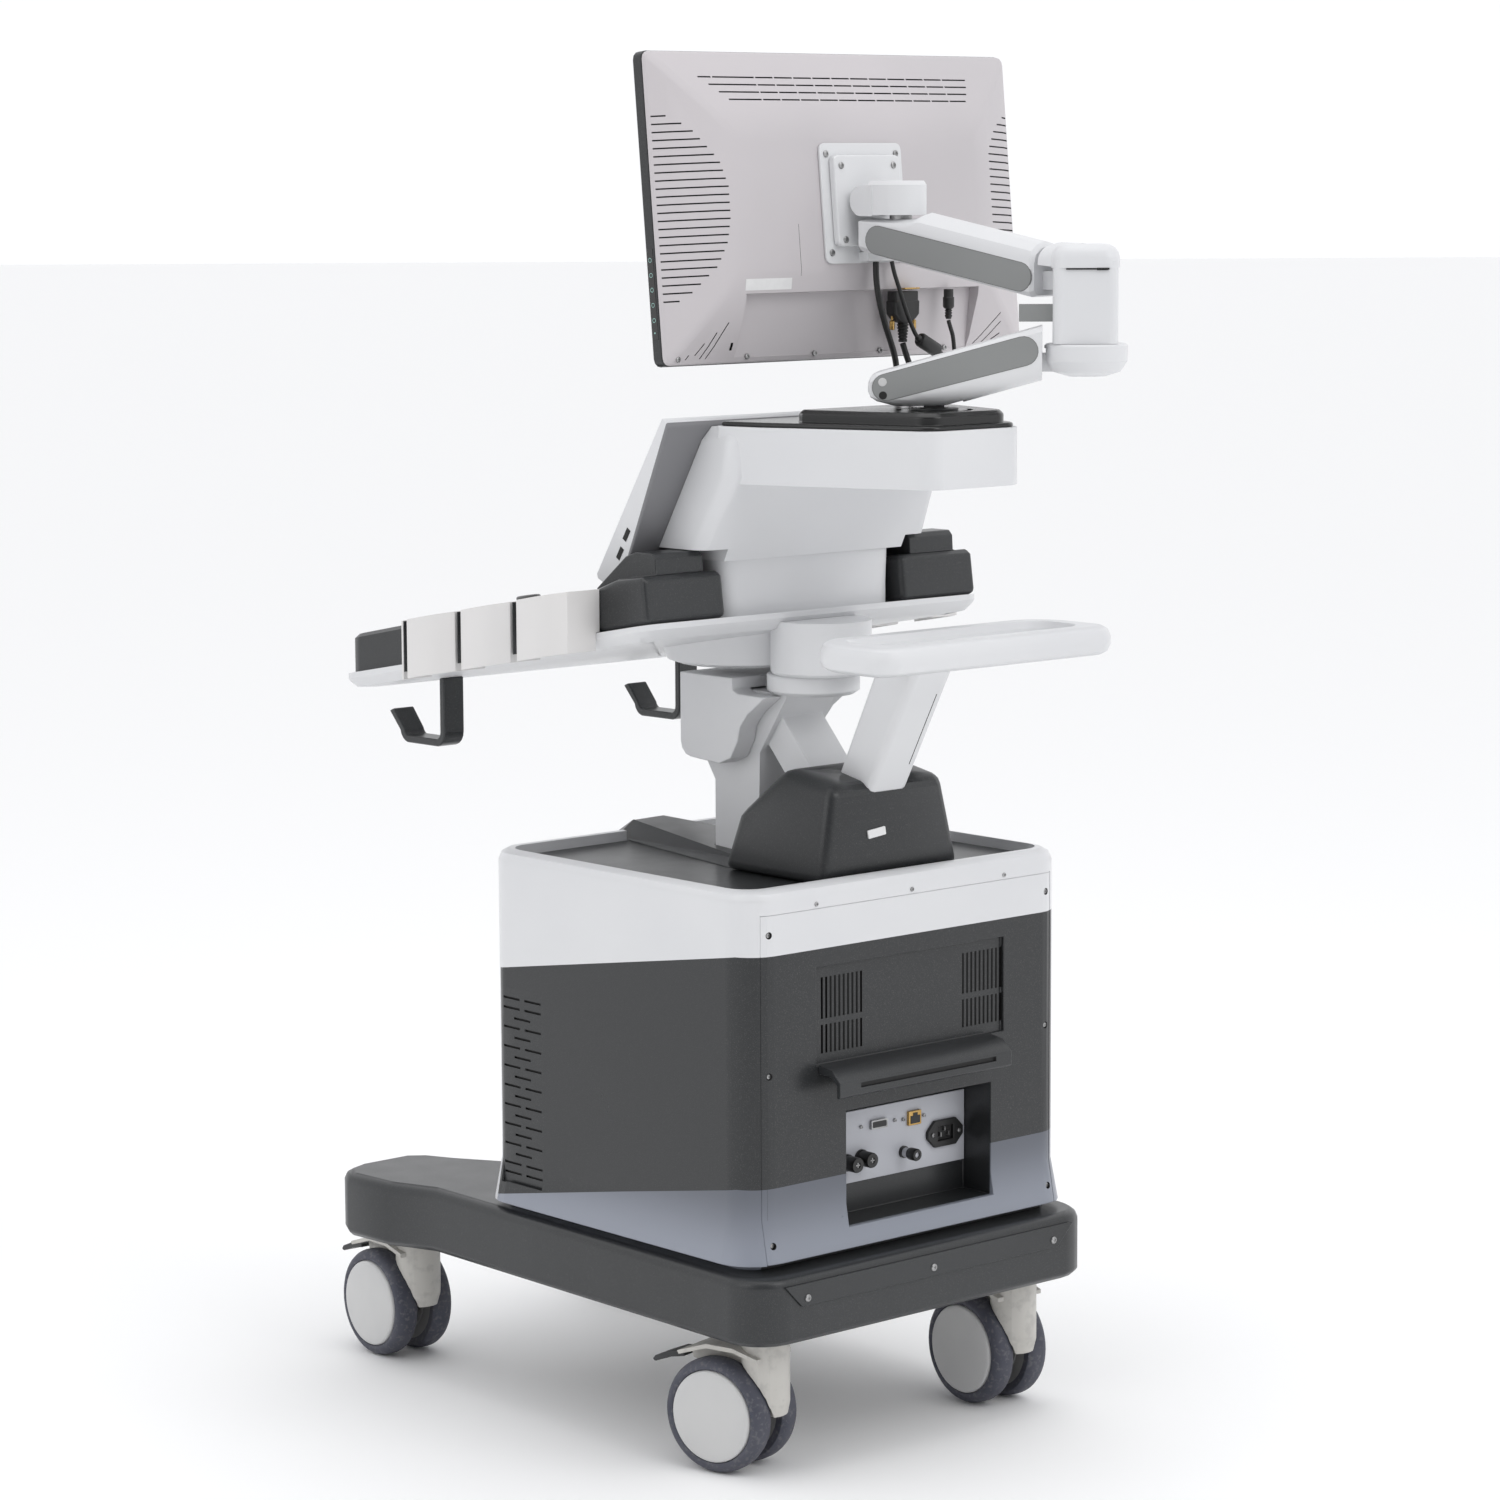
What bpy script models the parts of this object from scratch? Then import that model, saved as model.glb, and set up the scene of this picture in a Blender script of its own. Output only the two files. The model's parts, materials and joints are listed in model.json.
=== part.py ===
"""Cart-based ultrasound machine: an assembly of separate, named sub-parts.

Metres, +Z up.  The cart frame has +X to the operator's right and +Y to the rear, with its
origin on the floor, midway between the front and rear caster stems.  Everything hangs from
one empty, which moves the cart frame so that the whole model's floor outline is centred.
"""
import math

import bmesh
import bpy
from mathutils import Matrix, Vector

# ---- Driving dimensions (metres) -------------------------------------------------------

CART_SHIFT = (0.022, -0.041)      # centres the whole model's outline on the world origin
GAP = 0.0003                      # gap between pieces that touch
FIT = 0.0005                      # clearance where one piece passes through another

# Casters
WHEEL_RADIUS = 0.059
WHEEL_WIDTH = 0.028
WHEEL_SPACING = 0.048             # centre to centre of the twin discs
CASTER_TRAIL = 0.042
CASTER_TOP = 0.1435               # top of the stem plate
AXLE_RADIUS = 0.006
FORK_HALF_WIDTH = 0.0085
PEDAL_PIVOT = (-0.072, 0.113)     # y and z of the brake pedal's pin
CASTER_STEMS = {                  # name: (x, y, swivel angle at rest in degrees)
    "rear_right": (0.174, 0.283, 13.7),
    "rear_left": (-0.174, 0.283, -3.5),
    "front_right": (0.176, -0.291, -2.6),
    "front_left": (-0.176, -0.291, 4.0),
}

# Base
BASE_BOTTOM = 0.145
BASE_TOP = 0.215
BASE_REAR = 0.342
BASE_HALF_WIDTH = 0.237
BASE_WALL = 0.004
FOOT_FRONT = -0.350
FOOT_HALF_WIDTH = 0.252

# Cabinet
CABINET_BOTTOM = 0.222
CABINET_TOP = 0.596
CABINET_HALF_WIDTH = 0.220
CABINET_FRONT = -0.105
CABINET_REAR = 0.312
CABINET_WALL = 0.004
CABINET_FLARE = 0.008             # how far the skirt at the bottom stands out
CORNER_RADIUS = 0.035
DECK_TOP = 0.5855
DECK_THICKNESS = 0.004
DECK_MARGIN = 0.012               # white rim around the deck plate
COVER_HALF_WIDTH = 0.201
COVER_TOP = 0.572
COVER_THICKNESS = 0.008
RECESS = (-0.130, 0.130, 0.4135, 0.512)      # x0, x1, z0, z1 of the grille recess
RECESS_DEPTH = 0.004
POCKET = (-0.112, 0.090, 0.244, 0.362)       # x0, x1, z0, z1 of the port pocket
POCKET_DEPTH = 0.041
POCKET_WALL = 0.003
PORT_PANEL = (-0.111, 0.086, 0.275, 0.349)   # x0, x1, z0, z1
INLET_CENTRE = (-0.081, 0.308)
INLET_SIZE = (0.028, 0.021)
GRIP = (-0.110, 0.128, 0.384, 0.414)         # x0, x1, z0, z1 of the pull grip
GRIP_REACH = 0.032
CHASSIS_WALL = 0.002

# Tower, handle and column
TOWER_HALF_FOOT = 0.097
POST_HALF_WIDTH = 0.028
HANDLE_HALF_WIDTH = 0.165
HANDLE_FRONT = 0.325
HANDLE_REAR = 0.445
HANDLE_BOTTOM = 0.813
HANDLE_TOP = 0.842
HANDLE_BAR = 0.030
COLUMN_HALF_WIDTH = 0.035
STRUT_HALF_WIDTH = 0.028
SHROUD_HALF_WIDTH = 0.060
SWIVEL_Y = 0.165                  # console swivel axis
FLANGE_RADIUS = 0.048
FLANGE_TOP = 0.7845

# Console
TRAY_HALF_WIDTH = 0.232
TRAY_FRONT = -0.345
TRAY_REAR = 0.175
TRAY_SLOPE = 0.18                 # rise per metre towards the rear
TRAY_FRONT_Z = 0.757              # tray top at its front edge
TRAY_THICKNESS = 0.018
PANEL_HALF_WIDTH = 0.226
PANEL_FRONT_HEIGHT = 0.041
PANEL_REAR = 0.058
NECK_RADIUS = 0.052
BOWL_Y = 0.060
BOWL_RADIUS = 0.082
DISPLAY_HALF_WIDTH = 0.192
DISPLAY_FRONT = ((0.050, 0.891), (0.154, 1.052))     # y, z of the glass side's two ends
DISPLAY_REAR = ((0.105, 0.915), (0.163, 1.043))      # y, z of the rear face's two ends
HOUSING_HALF_WIDTH = 0.140
HOUSING_NECK_HALF_WIDTH = 0.118
OVERHANG_BOTTOM = 0.986
HOUSING_TOP = 1.043
OVERHANG_REAR = 0.412
OVERHANG_REAR_HALF_WIDTH = 0.068
PLINTH_TOP = 1.060
COVER_INNER_X = 0.1225            # black side cover, inner and outer faces
COVER_OUTER_X = 0.2270
COVER_REAR_Y = 0.172
HOOK_X = 0.165
HOOK_WIDTH = 0.027
HOOK_THICKNESS = 0.008
CUP_COUNT = 3
CUP_PITCH = 0.092
CUP_START = -0.178
CUP_REACH = 0.056
CUP_HEIGHT = 0.062
CUP_WALL = 0.003

# Monitor arm
PEDESTAL = (0.0, 0.344)
ELBOW = (-0.105, 0.450)
HEAD = (-0.070, 0.222)
ARM_SLOPE = 0.285                 # rise per metre of run of the lower arm's top
UPPER_SLOPE = 0.195               # fall per metre of run of the upper arm, towards the elbow
EYE_HALF_WIDTH = 0.0095
PIN_RADIUS = 0.004
LOWER_PIVOT_Z = 1.0875
ELBOW_LOW_PIVOT_Z = 1.1065
ELBOW_SEAM = 1.125
ELBOW_HIGH_PIVOT_Z = 1.186
ELBOW_BLOCK_TOP = 1.216
ELBOW_RADIUS = 0.041
HEAD_PIVOT_Z = 1.226
HEAD_FLOOR = 1.2495

# Monitor
MONITOR_WIDTH = 0.515
MONITOR_HEIGHT = 0.312
MONITOR_CENTRE = (-0.070, 0.164, 1.261)      # middle of the mounting face
MONITOR_YAW = 2.0
MONITOR_TILT = 5.3
MONITOR_DOME = 0.036              # mounting face to rim
RIM_DEPTH = 0.014
TILT_AXIS_OFFSET = 0.030          # tilt axis behind the mounting face

# Leads behind the monitor
SIGNAL_LEAD_RADIUS = 0.0032
POWER_LEAD_RADIUS = 0.0022
LEAD_END_GAP = 0.0016             # room for a lead's slanted end under its plug
PLUG_X = -0.1235                  # video plug
JACK_X = -0.1890                  # power plug
PLUG_Y = 0.1680
SIGNAL_ROUTE = ((-0.0758, 0.1786, 1.2015), (-0.0752, 0.1795, 1.1880), (-0.0760, 0.1805, 1.1740),
                (-0.0800, 0.1815, 1.1545), (-0.0868, 0.1820, 1.1345), (-0.0965, 0.1820, 1.1115),
                (-0.1020, 0.1810, 1.0950), (-0.1048, 0.1790, 1.0790), (-0.1105, 0.1760, 1.0680),
                (-0.1205, 0.1730, 1.0635), (-0.1300, 0.1705, 1.0675), (-0.1352, 0.1690, 1.0780),
                (-0.1340, 0.1684, 1.0910), (-0.1285, 0.1681, 1.1040), (-0.1235, 0.1680, 1.1165))
POWER_ROUTE = ((-0.0980, 0.1786, 1.2015), (-0.1008, 0.1798, 1.1890), (-0.1050, 0.1810, 1.1767),
               (-0.1150, 0.1820, 1.1509), (-0.1248, 0.1820, 1.1321), (-0.1327, 0.1820, 1.1219),
               (-0.1480, 0.1820, 1.1135), (-0.1633, 0.1820, 1.1066), (-0.1720, 0.1810, 1.1005),
               (-0.1790, 0.1785, 1.0945), (-0.1865, 0.1750, 1.0915), (-0.1930, 0.1715, 1.0940),
               (-0.1960, 0.1695, 1.1010), (-0.1965, 0.1685, 1.1110), (-0.1950, 0.1681, 1.1230),
               (-0.1915, 0.1680, 1.1320), (-0.1890, 0.1680, 1.1385))


# ---- Helpers ---------------------------------------------------------------------------


def material(name, colour, roughness, metallic=0.0):
    """A plain Principled material, made once and shared."""
    found = bpy.data.materials.get(name)
    if found:
        return found
    made = bpy.data.materials.new(name)
    made.use_nodes = True
    shader = made.node_tree.nodes["Principled BSDF"]
    shader.inputs["Base Color"].default_value = (*colour, 1.0)
    shader.inputs["Roughness"].default_value = roughness
    shader.inputs["Metallic"].default_value = metallic
    return made


def white_plastic():
    return material("white_plastic", (0.78, 0.79, 0.80), 0.45)


def grey_plastic():
    return material("grey_plastic", (0.60, 0.58, 0.59), 0.5)


def black_plastic():
    return material("black_plastic", (0.045, 0.046, 0.052), 0.4)


def insert_grey():
    return material("insert_grey", (0.27, 0.27, 0.27), 0.5)


def caster_grey():
    return material("caster_grey", (0.62, 0.61, 0.58), 0.45)


def tyre_rubber():
    return material("tyre_rubber", (0.06, 0.065, 0.09), 0.7)


def bright_steel():
    return material("bright_steel", (0.60, 0.61, 0.64), 0.35, 1.0)


def screen_glass():
    return material("screen_glass", (0.01, 0.01, 0.012), 0.08)


def cable_rubber():
    return material("cable_rubber", (0.02, 0.02, 0.022), 0.55)


def make_object(name, bm, finish, pivot=(0.0, 0.0, 0.0), turn=None):
    """Turn a bmesh in cart coordinates into an object whose origin is on its pivot.

    A piece drawn in its own upright frame gives turn, the rotation that places it.
    """
    bmesh.ops.recalc_face_normals(bm, faces=bm.faces)
    if turn is None:
        bmesh.ops.translate(bm, verts=bm.verts, vec=-Vector(pivot))
    mesh = bpy.data.meshes.new(name)
    bm.to_mesh(mesh)
    bm.free()
    mesh.shade_smooth()
    mesh.set_sharp_from_angle(angle=math.radians(32))
    made = bpy.data.objects.new(name, mesh)
    bpy.context.collection.objects.link(made)
    made.location = pivot
    if turn is not None:
        made.rotation_euler = turn.to_euler()
    made.parent = bpy.data.objects["cart"]
    if finish is not None:
        mesh.materials.append(finish)
    return made


def cutter(name, bm, like=None):
    """A hidden cutting body, placed like the piece it cuts."""
    made = make_object(name, bm, None)
    if like is not None:
        made.location = like.location
        made.rotation_euler = like.rotation_euler
    made.hide_render = True
    made.display_type = "WIRE"
    return made


def combine(target, other, operation):
    """Join, cut or intersect target with another body, exactly."""
    step = target.modifiers.new(other.name, "BOOLEAN")
    step.operation = operation
    step.solver = "EXACT"
    step.object = other


def soften(target, width, segments=2, angle=40.0):
    """Round the edges that are sharper than an angle."""
    step = target.modifiers.new("soften", "BEVEL")
    step.width = width
    step.segments = segments
    step.limit_method = "ANGLE"
    step.angle_limit = math.radians(angle)
    step.use_clamp_overlap = True


def loft(rings, bm=None):
    """A closed body through rings of equally many points."""
    bm = bm or bmesh.new()
    made = [[bm.verts.new(point) for point in ring] for ring in rings]
    count = len(rings[0])
    for lower, upper in zip(made, made[1:]):
        for i in range(count):
            j = (i + 1) % count
            bm.faces.new((lower[i], lower[j], upper[j], upper[i]))
    bm.faces.new(list(reversed(made[0])))
    bm.faces.new(made[-1])
    return bm


def box(x0, x1, y0, y1, z0, z1, bm=None):
    """A plain block."""
    ring = [(x0, y0), (x1, y0), (x1, y1), (x0, y1)]
    return loft([[(x, y, z) for x, y in ring] for z in (z0, z1)], bm)


def prism_x(outline, x0, x1):
    """Extrude a (y, z) outline along X."""
    return loft([[(x, y, z) for y, z in outline] for x in (x0, x1)])


def prism_z(outline, z0, z1):
    """Extrude an (x, y) outline along Z."""
    return loft([[(x, y, z) for x, y in outline] for z in (z0, z1)])


def arc(cx, cy, radius, start, end, steps):
    """Points on an arc, angles in degrees, both ends included."""
    points = []
    for i in range(steps + 1):
        angle = math.radians(start + (end - start) * i / steps)
        points.append((cx + radius * math.cos(angle), cy + radius * math.sin(angle)))
    return points


def rounded_rect(x0, x1, y0, y1, radius, steps=4):
    """A rectangle with round corners, anticlockwise."""
    corners = ((x1, y0, -90), (x1, y1, 0), (x0, y1, 90), (x0, y0, 180))
    points = []
    for x, y, start in corners:
        cx = x - math.copysign(radius, x - (x0 + x1) / 2)
        cy = y - math.copysign(radius, y - (y0 + y1) / 2)
        points += arc(cx, cy, radius, start, start + 90, steps)
    return points


def inset(outline, amount):
    """Move an anticlockwise outline inwards by an amount along its mitred normals."""
    moved = []
    count = len(outline)
    for i in range(count):
        before = Vector(outline[i - 1])
        here = Vector(outline[i])
        after = Vector(outline[(i + 1) % count])
        first = (here - before).normalized()
        second = (after - here).normalized()
        normal = Vector((-first.y, first.x)) + Vector((-second.y, second.x))
        normal.normalize()
        reach = amount / max(0.5, normal.dot(Vector((-first.y, first.x))))
        moved.append((here.x + normal.x * reach, here.y + normal.y * reach))
    return moved


def mirrored(half):
    """Complete a half outline, given for x >= 0 from the front to the rear."""
    return half + [(-x, y) for x, y in reversed(half)]


def turned(profile, steps, bm=None, centre=(0.0, 0.0), axis="Z"):
    """Revolve a profile of (radius, height) points; a zero radius closes to a pole."""
    bm = bm or bmesh.new()
    rings = []
    for radius, height in profile:
        if radius == 0.0:
            rings.append([bm.verts.new(place(axis, centre, 0.0, 0.0, height))])
            continue
        ring = []
        for i in range(steps):
            angle = 2 * math.pi * i / steps
            across = radius * math.cos(angle)
            along = radius * math.sin(angle)
            ring.append(bm.verts.new(place(axis, centre, across, along, height)))
        rings.append(ring)
    pairs = list(zip(rings, rings[1:]))
    if profile[0][0] > 0.0 and profile[-1][0] > 0.0:
        pairs.append((rings[-1], rings[0]))
    for lower, upper in pairs:
        for i in range(steps):
            j = (i + 1) % steps
            if len(lower) == 1:
                bm.faces.new((lower[0], upper[j], upper[i]))
            elif len(upper) == 1:
                bm.faces.new((lower[i], lower[j], upper[0]))
            else:
                bm.faces.new((lower[i], lower[j], upper[j], upper[i]))
    return bm


def place(axis, centre, across, along, height):
    """A point of a turned body: its axis is Z, X or Y."""
    if axis == "Z":
        return (centre[0] + across, centre[1] + along, height)
    if axis == "X":
        return (height, centre[0] + across, centre[1] + along)
    return (centre[0] + across, height, centre[1] + along)


def smooth_route(points, steps):
    """Catmull-Rom points through a route's own points."""
    ends = [points[0]] + list(points) + [points[-1]]
    route = []
    for i in range(1, len(ends) - 2):
        a, b, c, d = (Vector(p) for p in ends[i - 1:i + 3])
        for k in range(steps):
            t = k / steps
            route.append(0.5 * (2 * b + (c - a) * t + (2 * a - 5 * b + 4 * c - d) * t ** 2
                                + (3 * b - a - 3 * c + d) * t ** 3))
    route.append(Vector(points[-1]))
    return route


# ---- Casters ---------------------------------------------------------------------------


def caster(name):
    """Twin-wheel caster in its own upright frame: stem on Z, wheels trailing to -Y."""
    x, y, angle = CASTER_STEMS[name]
    turn = Matrix.Rotation(math.radians(angle), 3, "Z")
    stem = Vector((x, y, 0.0))
    hub = stem + turn @ Vector((0.0, -CASTER_TRAIL, WHEEL_RADIUS))
    fork_at(name, stem, turn)
    wheels_at(name, hub, turn)
    pedal_at(name, stem + turn @ Vector((0.0, PEDAL_PIVOT[0], PEDAL_PIVOT[1])), turn)


def fork_at(name, stem, turn):
    """Stem, swivel housing and the web that carries the axle between the discs."""
    bm = turned([(0.0, 0.060), (0.022, 0.062), (0.0245, 0.075), (0.0245, CASTER_TOP - 0.002),
                 (0.022, CASTER_TOP), (0.0, CASTER_TOP)], 24)
    body = make_object(f"caster_fork_{name}", bm, caster_grey(), stem, turn)
    web = [(0.018, 0.078), (0.018, 0.112), (-0.020, 0.126), (-0.052, 0.127),
           (-0.085, 0.117), (-0.083, 0.108), (-0.062, 0.104), (-0.062, 0.052),
           (-0.042, 0.040), (-0.022, 0.045), (-0.010, 0.066)]
    plate = cutter(f"web_{name}", prism_x(web, -FORK_HALF_WIDTH, FORK_HALF_WIDTH), body)
    combine(body, plate, "UNION")
    hood = [(0.010, 0.1235), (-0.020, 0.1310), (-0.052, 0.1310), (-0.088, 0.119),
            (-0.086, 0.1155), (-0.052, 0.1265), (-0.020, 0.1265), (0.010, 0.1190)]
    cap = cutter(f"hood_{name}", prism_x(hood, -0.030, 0.030), body)
    combine(body, cap, "UNION")
    bore = turned([(0.0, -0.05), (AXLE_RADIUS + FIT, -0.05), (AXLE_RADIUS + FIT, 0.05),
                   (0.0, 0.05)], 16, centre=(-CASTER_TRAIL, WHEEL_RADIUS), axis="X")
    combine(body, cutter(f"axle_bore_{name}", bore, body), "DIFFERENCE")
    radius = WHEEL_RADIUS + 0.0015
    inner = (WHEEL_SPACING - WHEEL_WIDTH) / 2 - FIT
    for sign in (-1, 1):
        room = turned([(0.0, sign * inner), (radius, sign * inner), (radius, sign * 0.05),
                       (0.0, sign * 0.05)], 32, centre=(-CASTER_TRAIL, WHEEL_RADIUS), axis="X")
        combine(body, cutter(f"wheel_room_{name}_{sign}", room, body), "DIFFERENCE")


def wheels_at(name, hub, turn):
    """Twin discs with tyres on one axle, which turns in the fork's web."""
    inner = WHEEL_SPACING / 2 - WHEEL_WIDTH / 2
    outer = inner + WHEEL_WIDTH
    half = [(AXLE_RADIUS, inner), (0.043, inner), (0.0545, inner + 0.0005),
            (WHEEL_RADIUS - 0.001, inner + 0.006), (WHEEL_RADIUS, inner + 0.012),
            (WHEEL_RADIUS, inner + 0.017), (WHEEL_RADIUS - 0.002, outer - 0.006),
            (0.051, outer - 0.001), (0.044, outer), (0.0, outer)]
    profile = [(radius, -height) for radius, height in reversed(half)] + half
    bm = turned(profile, 28, axis="X")
    make_object(f"caster_wheels_{name}", bm, tyre_rubber(), hub, turn)


def pedal_at(name, pivot, turn):
    """Brake pedal: a tongue on a pin at the front of the fork."""
    outline = [(0.003, -0.0032), (0.004, 0.0), (0.002, 0.0022), (-0.012, 0.001),
               (-0.034, -0.008), (-0.037, -0.012), (-0.034, -0.014), (-0.014, -0.0065)]
    bm = prism_x([(y - 0.021, z - 0.001) for y, z in outline], -0.015, 0.015)
    body = make_object(f"brake_pedal_{name}", bm, black_plastic(), pivot, turn)
    soften(body, 0.001, 1)


# ---- Base ------------------------------------------------------------------------------


def base_outline():
    """Plan of the base: straight rear, and two feet that reach forward with a notch."""
    rear_arc = arc(BASE_HALF_WIDTH - 0.045, BASE_REAR - 0.045, 0.045, 0, 90, 5)
    front = [(0.030, -0.190), (0.075, -0.240), (0.112, -0.300), (0.128, -0.334),
             (0.148, FOOT_FRONT), (FOOT_HALF_WIDTH - 0.040, FOOT_FRONT),
             (FOOT_HALF_WIDTH - 0.014, FOOT_FRONT + 0.010),
             (FOOT_HALF_WIDTH, FOOT_FRONT + 0.036), (FOOT_HALF_WIDTH - 0.004, -0.250),
             (BASE_HALF_WIDTH - 0.009, -0.195)]
    return mirrored(front + rear_arc)


def base():
    """Moulded base shell, open below, with a steel frame in it that takes the casters."""
    outline = base_outline()
    levels = ((BASE_BOTTOM, 0.006), (BASE_BOTTOM + 0.006, 0.0), (BASE_TOP - 0.011, 0.0),
              (BASE_TOP - 0.004, 0.003), (BASE_TOP, 0.010))
    rings = [[(x, y, z) for x, y in inset(outline, amount)] for z, amount in levels]
    shell = make_object("base_shell", loft(rings), black_plastic())
    hollow = inset(outline, 0.010 + BASE_WALL)
    room = prism_z(hollow, BASE_BOTTOM - 0.01, BASE_TOP - BASE_WALL)
    combine(shell, cutter("base_room", room), "DIFFERENCE")
    frame = inset(outline, 0.010 + BASE_WALL + 0.004)
    floor = CASTER_TOP + GAP
    plate = make_object("base_frame", prism_z(frame, floor, floor + 0.008), bright_steel())
    opening = prism_z(rounded_rect(-0.10, 0.10, -0.10, 0.20, 0.03), floor - 0.01, floor + 0.02)
    combine(plate, cutter("frame_window", opening), "DIFFERENCE")
    half = COVER_HALF_WIDTH - 0.022
    strip = [(half, 0.183), (half + 0.022, 0.206), (-half - 0.022, 0.206), (-half, 0.183)]
    bm = loft([[(x, y, z) for x, z in strip]
               for y in (BASE_REAR + GAP, BASE_REAR + GAP + 0.002)])
    make_object("base_rear_cover", bm, black_plastic())


# ---- Cabinet ---------------------------------------------------------------------------


def cabinet_body():
    """Outer form of the cabinet: a rounded box with a skirt that flares at the bottom."""
    outline = rounded_rect(-CABINET_HALF_WIDTH, CABINET_HALF_WIDTH, CABINET_FRONT,
                           CABINET_REAR, CORNER_RADIUS, 6)
    levels = ((BASE_TOP + GAP, 0.009), (CABINET_BOTTOM, 0.009),
              (CABINET_BOTTOM + 0.0005, -CABINET_FLARE), (CABINET_BOTTOM + 0.045, 0.0),
              (CABINET_TOP - 0.012, 0.0), (CABINET_TOP - 0.004, 0.0035),
              (CABINET_TOP, 0.011))
    return loft([[(x, y, z) for x, y in inset(outline, amount)] for z, amount in levels])


def cabinet():
    """Shell, rear cover with its pocket, deck plate and the pieces at the rear."""
    shell = make_object("cabinet_shell", cabinet_body(), white_plastic())
    inner = rounded_rect(-CABINET_HALF_WIDTH + CABINET_WALL + 0.006,
                         CABINET_HALF_WIDTH - CABINET_WALL - 0.006,
                         CABINET_FRONT + CABINET_WALL + 0.006,
                         CABINET_REAR - CABINET_WALL - 0.006, CORNER_RADIUS - 0.010, 4)
    deck_seat = DECK_TOP - DECK_THICKNESS
    room = prism_z(inner, BASE_TOP - 0.01, deck_seat - GAP - CABINET_WALL)
    combine(shell, cutter("cabinet_room", room), "DIFFERENCE")
    combine(shell, cutter("deck_seat", deck_block(0.0, deck_seat - GAP, 0.7)), "DIFFERENCE")
    opening = box(-COVER_HALF_WIDTH, COVER_HALF_WIDTH, CABINET_REAR - 0.02,
                  CABINET_REAR + 0.05, CABINET_BOTTOM - 0.0002, COVER_TOP)
    combine(shell, cutter("rear_opening", opening), "DIFFERENCE")
    make_object("deck_plate", deck_block(GAP, deck_seat, DECK_TOP), black_plastic())
    rear_cover()
    rear_ports()
    pull_grip()
    inner_units()


def deck_block(clearance, z0, z1):
    """The deck plate's outline between two heights."""
    half = CABINET_HALF_WIDTH - DECK_MARGIN - clearance
    outline = rounded_rect(-half, half, CABINET_FRONT + DECK_MARGIN + 0.007 + clearance,
                           CABINET_REAR - DECK_MARGIN - 0.006 - clearance, 0.026, 5)
    return prism_z(outline, z0, z1)


def rear_cover():
    """Rear cover: follows the cabinet's form, with a shallow recess and a port pocket."""
    cover = make_object("rear_cover", cabinet_body(), black_plastic())
    half = COVER_HALF_WIDTH - GAP
    inner_face = CABINET_REAR - COVER_THICKNESS
    slab = box(-half, half, inner_face, CABINET_REAR + 0.05,
               CABINET_BOTTOM + 0.0008, COVER_TOP - GAP)
    combine(cover, cutter("cover_slab", slab), "INTERSECT")
    x0, x1, z0, z1 = POCKET
    wall = POCKET_WALL
    floor = CABINET_REAR - POCKET_DEPTH
    tub = box(x0 - wall, x1 + wall, floor - wall, inner_face + 0.001, z0 - wall, z1 + wall)
    combine(cover, cutter("pocket_tub", tub), "UNION")
    void = box(x0, x1, floor, CABINET_REAR + 0.05, z0, z1)
    combine(cover, cutter("pocket_void", void), "DIFFERENCE")
    x0, x1, z0, z1 = RECESS
    dish = box(x0, x1, CABINET_REAR - RECESS_DEPTH, CABINET_REAR + 0.05, z0, z1)
    combine(cover, cutter("recess_void", dish), "DIFFERENCE")


def rear_ports():
    """Port plate with its fuse holders and ground post, and the mains inlet through it."""
    x0, x1, z0, z1 = PORT_PANEL
    floor = CABINET_REAR - POCKET_DEPTH
    back = floor + GAP
    front = back + 0.002
    panel = make_object("port_panel", box(x0, x1, back, front, z0, z1), bright_steel())
    posts = (("fuse_a", 0.055, 0.297, 0.0075, 0.016), ("fuse_b", 0.035, 0.299, 0.0075, 0.016),
             ("ground", -0.024, 0.296, 0.005, 0.020))
    for name, x, z, radius, reach in posts:
        bm = turned([(0.0, front - 0.001), (radius, front - 0.001),
                     (radius, front + reach), (0.0, front + reach)], 16, centre=(x, z), axis="Y")
        combine(panel, cutter(f"post_{name}", bm), "UNION")
    for name, x, z, width, height in (("video", 0.012, 0.331, 0.020, 0.008),
                                      ("network", -0.038, 0.330, 0.015, 0.013)):
        bm = box(x - width / 2, x + width / 2, front - 0.001, front + 0.003,
                 z - height / 2, z + height / 2)
        combine(panel, cutter(f"socket_{name}", bm), "UNION")
    cx, cz = INLET_CENTRE
    width, height = INLET_SIZE
    for z in (cz - 0.003, cz + 0.003):
        combine(panel, cutter(f"inlet_hole_{z:.3f}",
                              box(cx - width / 2 - FIT, cx + width / 2 + FIT, back - 0.01,
                                  front + 0.01, z - height / 2, z + height / 2)), "DIFFERENCE")
    flange = [(cx - 0.025, cz - 0.004), (cx - 0.015, cz - 0.014), (cx + 0.015, cz - 0.014),
              (cx + 0.025, cz - 0.004), (cx + 0.025, cz + 0.004), (cx + 0.015, cz + 0.014),
              (cx - 0.015, cz + 0.014), (cx - 0.025, cz + 0.004)]
    bm = loft([[(x, y, z) for x, z in flange] for y in (front + GAP, front + 0.004)])
    inlet = make_object("mains_inlet", bm, black_plastic())
    barrel = box(cx - width / 2, cx + width / 2, back + GAP, front + 0.002,
                 cz - height / 2, cz + height / 2)
    combine(inlet, cutter("inlet_barrel", barrel), "UNION")
    mouth = box(cx - 0.011, cx + 0.011, back + 0.0012, front + 0.02, cz - 0.0075, cz + 0.0075)
    combine(inlet, cutter("inlet_mouth", mouth), "DIFFERENCE")


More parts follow.
